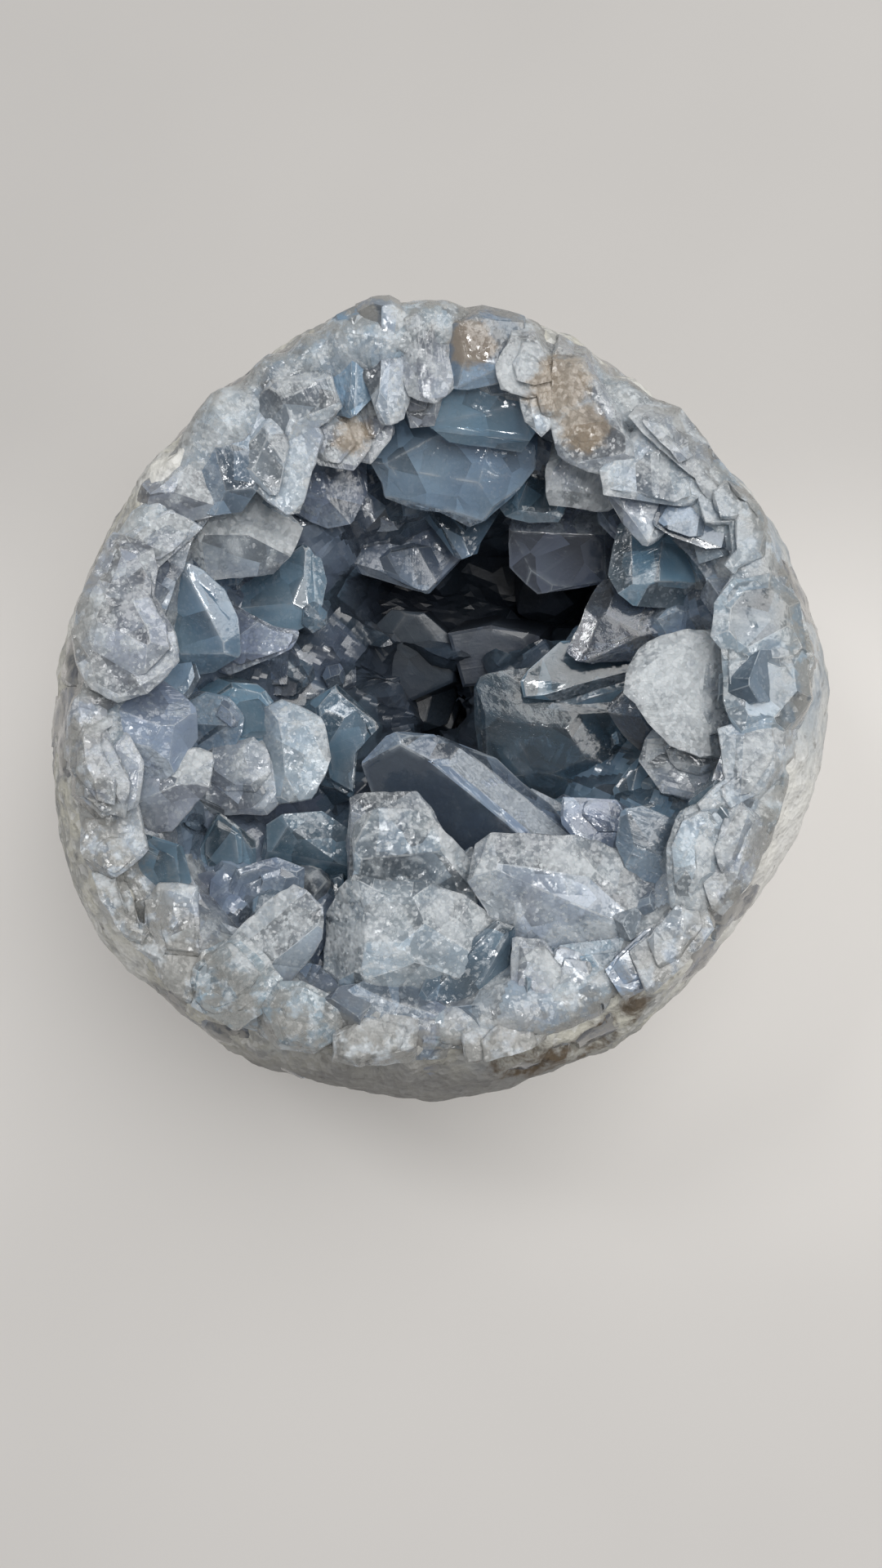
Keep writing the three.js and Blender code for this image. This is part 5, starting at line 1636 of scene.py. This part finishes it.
@dataclass
class Lining:
    """The crust that every crystal grows from: a lumpy shell inside the stone."""

    thick: float = 5.2
    gap: float = 0.35
    segments: int = 120
    steps: int = 40

    def build(self, effects: Effects) -> None:
        """Makes the shell from the stone's hollow, and dresses it."""
        wall = smooth(HOLLOW, self.steps)
        outer = inwards(wall, self.gap)
        inner = inwards(wall, self.thick)[::-1]
        profile = [*outer[::-1], *inner[::-1]]

        def push(point: Vector, step: int) -> float:
            """Lumps on the shell's inner side."""
            if step <= self.steps:
                return 0.0
            return 1.6 * lumps(point / 8) + 0.5 * noise.noise(point / 2.5)

        bm = lathe(profile, self.segments, push)
        Look(0.4, 0.45, 0.1).mark(bm, Vector((0, 0, 1)))
        finish_piece(bm, "crystal_lining", HAZY.make(effects), "crystal_crust", crease=40)


@dataclass
class Bench:
    """Middling crystals that stand on the wall all round the pocket and fill the gaps between the large."""

    rings: Profile = ((42, 63), (37, 59.5), (31, 55), (25, 50.5), (19.5, 46.5))
    spacing: float = 8.0
    holes: Sequence[tuple[float, float, float, float]] = (
        (10, 18, 31, 16), (-35, 2, 6, 3.5), (-36, -19, 3, 2.6), (-22.5, -42, 3.4, 2.4), (42, 12, 3, 4.5),
        (2, 2, 16, 8), (22, -45, 2, 3), (-36, -25, 9, 10), (-17.5, -24, 8, 6), (-16.5, -35, 3, 7),
    )  # the middle and half widths of each gap that stays open

    def grow(self) -> list[Crystal]:
        """Places the crystals, each a little out of line with the next."""
        crystals = []
        for ring, (radius, top) in enumerate(self.rings):
            count = round(math.tau * radius / self.spacing)
            for n in range(count):
                def vary(k: int, least: float, most: float) -> float:
                    """A number that differs from crystal to crystal."""
                    return least + (most - least) * scatter(ring * 71.3 + n * 6.1 + k)

                angle = (n + vary(1, -0.4, 0.4)) / count * math.tau + ring
                out = radius * mouth_at(angle) / MOUTH + vary(2, -2, 2)
                spot = Vector((out * math.cos(angle), out * math.sin(angle), 0))
                if any(((spot.x - x) / a) ** 2 + ((spot.y - y) / b) ** 2 < 1 for x, y, a, b in self.holes):
                    continue
                top_here = top + 0.8 * (lip_at(angle) - LIP_TOP) * 0.5 + vary(3, -2.5, 2)
                lean = Vector((vary(4, -5, 5), vary(5, -5, 5), 0)) - spot.normalized() * 3
                wide = vary(6, 4, 9)
                clarity = F if vary(7, 0, 1) < 0.3 else H
                look = Look(vary(8, 0, 1), vary(9, 0.15, 0.65), vary(10, 0, 0.6))
                tip = spot + lean + Vector((0, 0, top_here))
                crystals.append(Crystal(tuple(spot + Vector((0, 0, top_here - 15))), tuple(tip), wide,
                                        wide * vary(11, 0.7, 1.1), vary(12, 0, 180), vary(13, 0, 1.5),
                                        clarity, look, 1, 5, 0.12, False, 0.0))
        return crystals


@dataclass(frozen=True)
class Bed:
    """Massive celestite round the wall: many crystals grown into one another."""

    profile: Profile
    clarity: Clarity
    heights: Profile  # sizes of its crystals, and how far they stand out
    frost: tuple[float, float]  # at its foot and at its top
    levels: tuple[float, float]  # the heights of that foot and top
    segments: int = 460
    steps: int = 96
    holes: Sequence[tuple[Place, Place]] = ()  # the middle and half widths of each gap that stays open

    def grow(self, seed: int) -> list[bpy.types.Mesh]:
        """Makes the body, with its crystals standing out and its gaps left open.

        Args:
            seed: Makes its crystals differ from another bed's.

        Returns:
            One closed mesh, in millimetres, in place.
        """
        profile = smooth(self.profile, self.steps)
        profile[-1] = profile[0]
        bm = lathe(profile, self.segments, lambda point, step: 0.0)
        away = Vector((31.7, 0, 0)) * (1 + seed)
        self.break_up(bm, away)
        mesh = mesh_of(bm)
        for at, size in self.holes:
            hole = bmesh.new()
            bmesh.ops.create_icosphere(hole, subdivisions=5 if max(size[:2]) > 8 else 4, radius=1)
            bmesh.ops.transform(hole, matrix=Matrix.LocRotScale(Vector(at), None, Vector(size)),
                                verts=hole.verts)
            self.break_up(hole, away, -1)
            mesh = combine(mesh, mesh_of(hole), "DIFFERENCE")
        return [mesh]

    def break_up(self, bm: BMesh, away: Vector, side: int = 1) -> None:
        """Lets the crystals stand out of a smooth body.

        Args:
            bm: The body.
            away: Makes its crystals differ from another bed's.
            side: 1 for outwards, -1 for inwards.
        """
        bm.normal_update()
        for vert in bm.verts:
            out = sum(high * intergrown(vert.co / size + away) for size, high in self.heights)
            vert.co += vert.normal * out * side
        Look().mark(bm, Vector((0, 0, 1)))
        self.mark(bm, away)

    def mark(self, bm: BMesh, away: Vector) -> None:
        """Gives each of its crystals a look and a length of its own."""
        kinds = (Mark.TONE, Mark.FROST, Mark.PAINTED_SHADE)
        tone, frost, shade = (bm.faces.layers.float[kind.value] for kind in kinds)
        line = bm.faces.layers.float_vector[Mark.ALONG.value]
        size = self.heights[0][0]
        for one in bm.faces:
            middle = one.calc_center_median()
            place = middle / size + away
            cell = noise.voronoi(place)[1][0]
            key = key_of(cell)
            turned = axes_of(key) @ (place - cell)
            side = max(range(3), key=lambda axis: abs(turned[axis]))
            up = smoothstep(middle.z, *self.levels)
            # Painted light and shade: each facet of the bed gets a lightness of its own, darker towards the bed's foot,
            # deep in the pocket
            one[shade] = scatter(key + side * 1.7 + (0.6 if turned[side] > 0 else 0)) * (0.5 + 0.5 * up)
            one[frost] = self.frost[0] + (self.frost[1] - self.frost[0]) * up + 0.35 * (scatter(key) - 0.5)
            one[tone] = 0.35 + 0.25 * smoothstep(middle.x, -45, 45) + 0.5 * (scatter(key + 0.5) - 0.5)
            one[line] = axes_of(key).row[0]


HOLES = (
    ((11, 19, 60), (30, 15, 34)), ((-2, 6, 60), (16, 9, 30)), ((-34, -25, 66), (7.5, 9, 14)),
    ((-17.5, -24, 66), (9, 7, 13)), ((-16.5, -35, 67), (3.6, 8, 16)), ((-36, 2, 62), (5.5, 3.2, 18)),
    ((-36, -19, 62), (3, 2.4, 14)), ((-22.5, -42, 62), (3.4, 2.4, 14)), ((42, 12, 62), (2.8, 3.6, 14)),
    ((22, -45, 66), (2, 2.6, 8)),
)
BRIM = Bed(
    profile=(
        (43.0, 56), (42.4, 63), (43.2, 69.2), (45.2, 72.8), (47.2, 73.9), (49.0, 73.4), (49.8, 71.8),
        (49.4, 68), (48.2, 62), (46.2, 56), (43.0, 56),
    ), clarity=Clarity.FROSTY, heights=((14, 4.4), (6, 1.0), (2.3, 0.3)), frost=(0.35, 0.6),
    levels=(60, 74), holes=HOLES[5:],
)
SLOPE = Bed(
    profile=(
        (5, 34), (12, 41), (22, 45.5), (31, 50.5), (38, 57), (42.4, 63), (45.5, 62), (47.5, 56), (47.5, 46),
        (43, 36), (34, 26), (20, 23), (5, 34),
    ), clarity=Clarity.HAZY, heights=((12, 7), (5.5, 2.0), (2.3, 0.5)), frost=(0.0, 0.2), levels=(42, 64),
    holes=HOLES,
)


@dataclass
class Crust:
    """Every crystal, joined by clarity."""

    reliefs: dict[Clarity, Relief] = field(default_factory=lambda: {
        Clarity.CLEAR: Relief(3.0, ((8.0, 0.06), (2.4, 0.02))),
        Clarity.HAZY: Relief(3.0, ((8.0, 0.08), (2.4, 0.03)), ((5.0, 0.25), (2.2, 0.08))),
        Clarity.FROSTY: Relief(1.25, ((8.0, 0.15),), ((7.0, 1.1), (2.6, 0.4))),
    })
    finishes: dict[Clarity, bpy.types.Material] = field(default_factory=dict)

    def envelope(self) -> bpy.types.Mesh:
        """Makes the space that crystals may fill: inside the stone's outside, and open above it."""
        outside = inwards(smooth(OUTSIDE, 40)[::-1], 0.5)[::-1]
        rim = outside[-1][0] + 1.0
        profile = [*outside, (rim, LIP_TOP + 3), (rim, 2 * GIRTH), (0, 2 * GIRTH)]
        return mesh_of(lathe(profile, 96, lambda point, step: 0.0))

    def build(self, effects: Effects) -> None:
        """Grows the crystals, joins them by clarity, and dresses the joined bodies."""
        self.finishes = {clarity: finish.make(effects) for clarity, finish in FINISH_OF.items()}
        large = [*PRISM_GROUP, *RIM_GROUP, *TOP_GROUP, *RIGHT_GROUP, *LEFT_GROUP, *FRONT_GROUP, *POCKET_GROUP]
        rows = [crystal for n, row in enumerate(ROWS) for crystal in row.grow(n)]
        druse_rows = [crystal for n, row in enumerate(DRUSE_ROWS) for crystal in row.grow(20 + n)]
        self.piece("large", [*large, *FLOOR_GROUP])
        self.piece("middling", [*Bench().grow(), *rows])
        self.piece("brim", [BRIM])
        self.piece("slope", [SLOPE])
        self.piece("druse", druse_rows)

    def piece(self, name: str, crystals: Sequence) -> None:
        """Grows a group of crystals, and joins those of each clarity into one body.

        Args:
            name: The group's name.
            crystals: Its crystals, blocks and beds.
        """
        grown: dict[Clarity, list[bpy.types.Mesh]] = {}
        for n, crystal in enumerate(crystals):
            grown.setdefault(crystal.clarity, []).extend(crystal.grow(n))
        for clarity, meshes in grown.items():
            joined = combine(fuse(meshes), self.envelope(), "INTERSECT")
            bm = bmesh.new()
            bm.from_mesh(joined)
            bpy.data.meshes.remove(joined)
            if clarity in self.reliefs and name in ("large", "middling"):
                self.reliefs[clarity].press(bm)
            finish_piece(bm, f"{name}_{clarity.value}", self.finishes[clarity],
                         "crystal_crust")


# ---------------------------------------------------------------- table, light and camera

@dataclass
class Studio:
    """A pale table top, soft light from behind on the right, and the camera above."""

    floor: float = 1600.0

    def light(self, name: str, at: Place, size: float, power: float, colour: Colour) -> None:
        """Hangs a square lamp that faces the stone.

        Args:
            name: Its name.
            at: Its place, in millimetres.
            size: Its side, in millimetres.
            power: Its power in watts.
            colour: Its colour.
        """
        lamp = bpy.data.lights.new(name, "AREA")
        lamp.energy, lamp.size, lamp.color = power, size * MM, colour
        holder = bpy.data.objects.new(name, lamp)
        holder.location = Vector(at) * MM
        holder.rotation_euler = (MIDDLE - Vector(at)).to_track_quat("-Z", "Y").to_euler()
        bpy.context.scene.collection.objects.link(holder)

    def build(self) -> None:
        """Sets up the table, the light and the camera."""
        scene = bpy.context.scene
        bm = bmesh.new()
        bmesh.ops.create_grid(bm, x_segments=4, y_segments=4, size=self.floor * MM / 2)
        mesh = mesh_of(bm)
        mesh.materials.append(FloorFinish().make())
        table = bpy.data.objects.new("table_top", mesh)
        scene.collection.objects.link(table)

        self.light("window", (260, 170, 680), 600, 3.7, (1.0, 0.99, 0.97))
        self.light("lamp", (-260, 200, 560), 120, 0.6, (1.0, 1.0, 1.0))
        self.light("glint", (60, -60, 620), 60, 0.3, (1.0, 1.0, 1.0))

        world = bpy.data.worlds.new("room")
        world.use_nodes = True
        t = Tree(world.node_tree)
        sky = t.add("Background", {"Color": (0.96, 0.965, 0.97, 1.0), "Strength": 0.31})
        t.add("OutputWorld", {"Surface": sky.outputs[0]})
        scene.world = world

        camera = bpy.data.cameras.new("camera")
        camera.lens, camera.sensor_width, camera.clip_start = LENS, SENSOR, 0.01
        eye = bpy.data.objects.new("camera", camera)
        eye.location = Vector(EYE) * MM
        eye.rotation_euler = (LEAN, 0, 0)
        scene.collection.objects.link(eye)
        scene.camera = eye
        scene.view_settings.view_transform = "Standard"


def main() -> None:
    """Builds the geode and its studio."""
    logging.basicConfig(level=logging.INFO, format="%(name)s: %(message)s")
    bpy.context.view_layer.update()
    effects = Effects()
    Stone().build(effects)
    Lining().build(effects)
    Crust().build(effects)
    Studio().build()


if __name__ == "__main__":
    main()
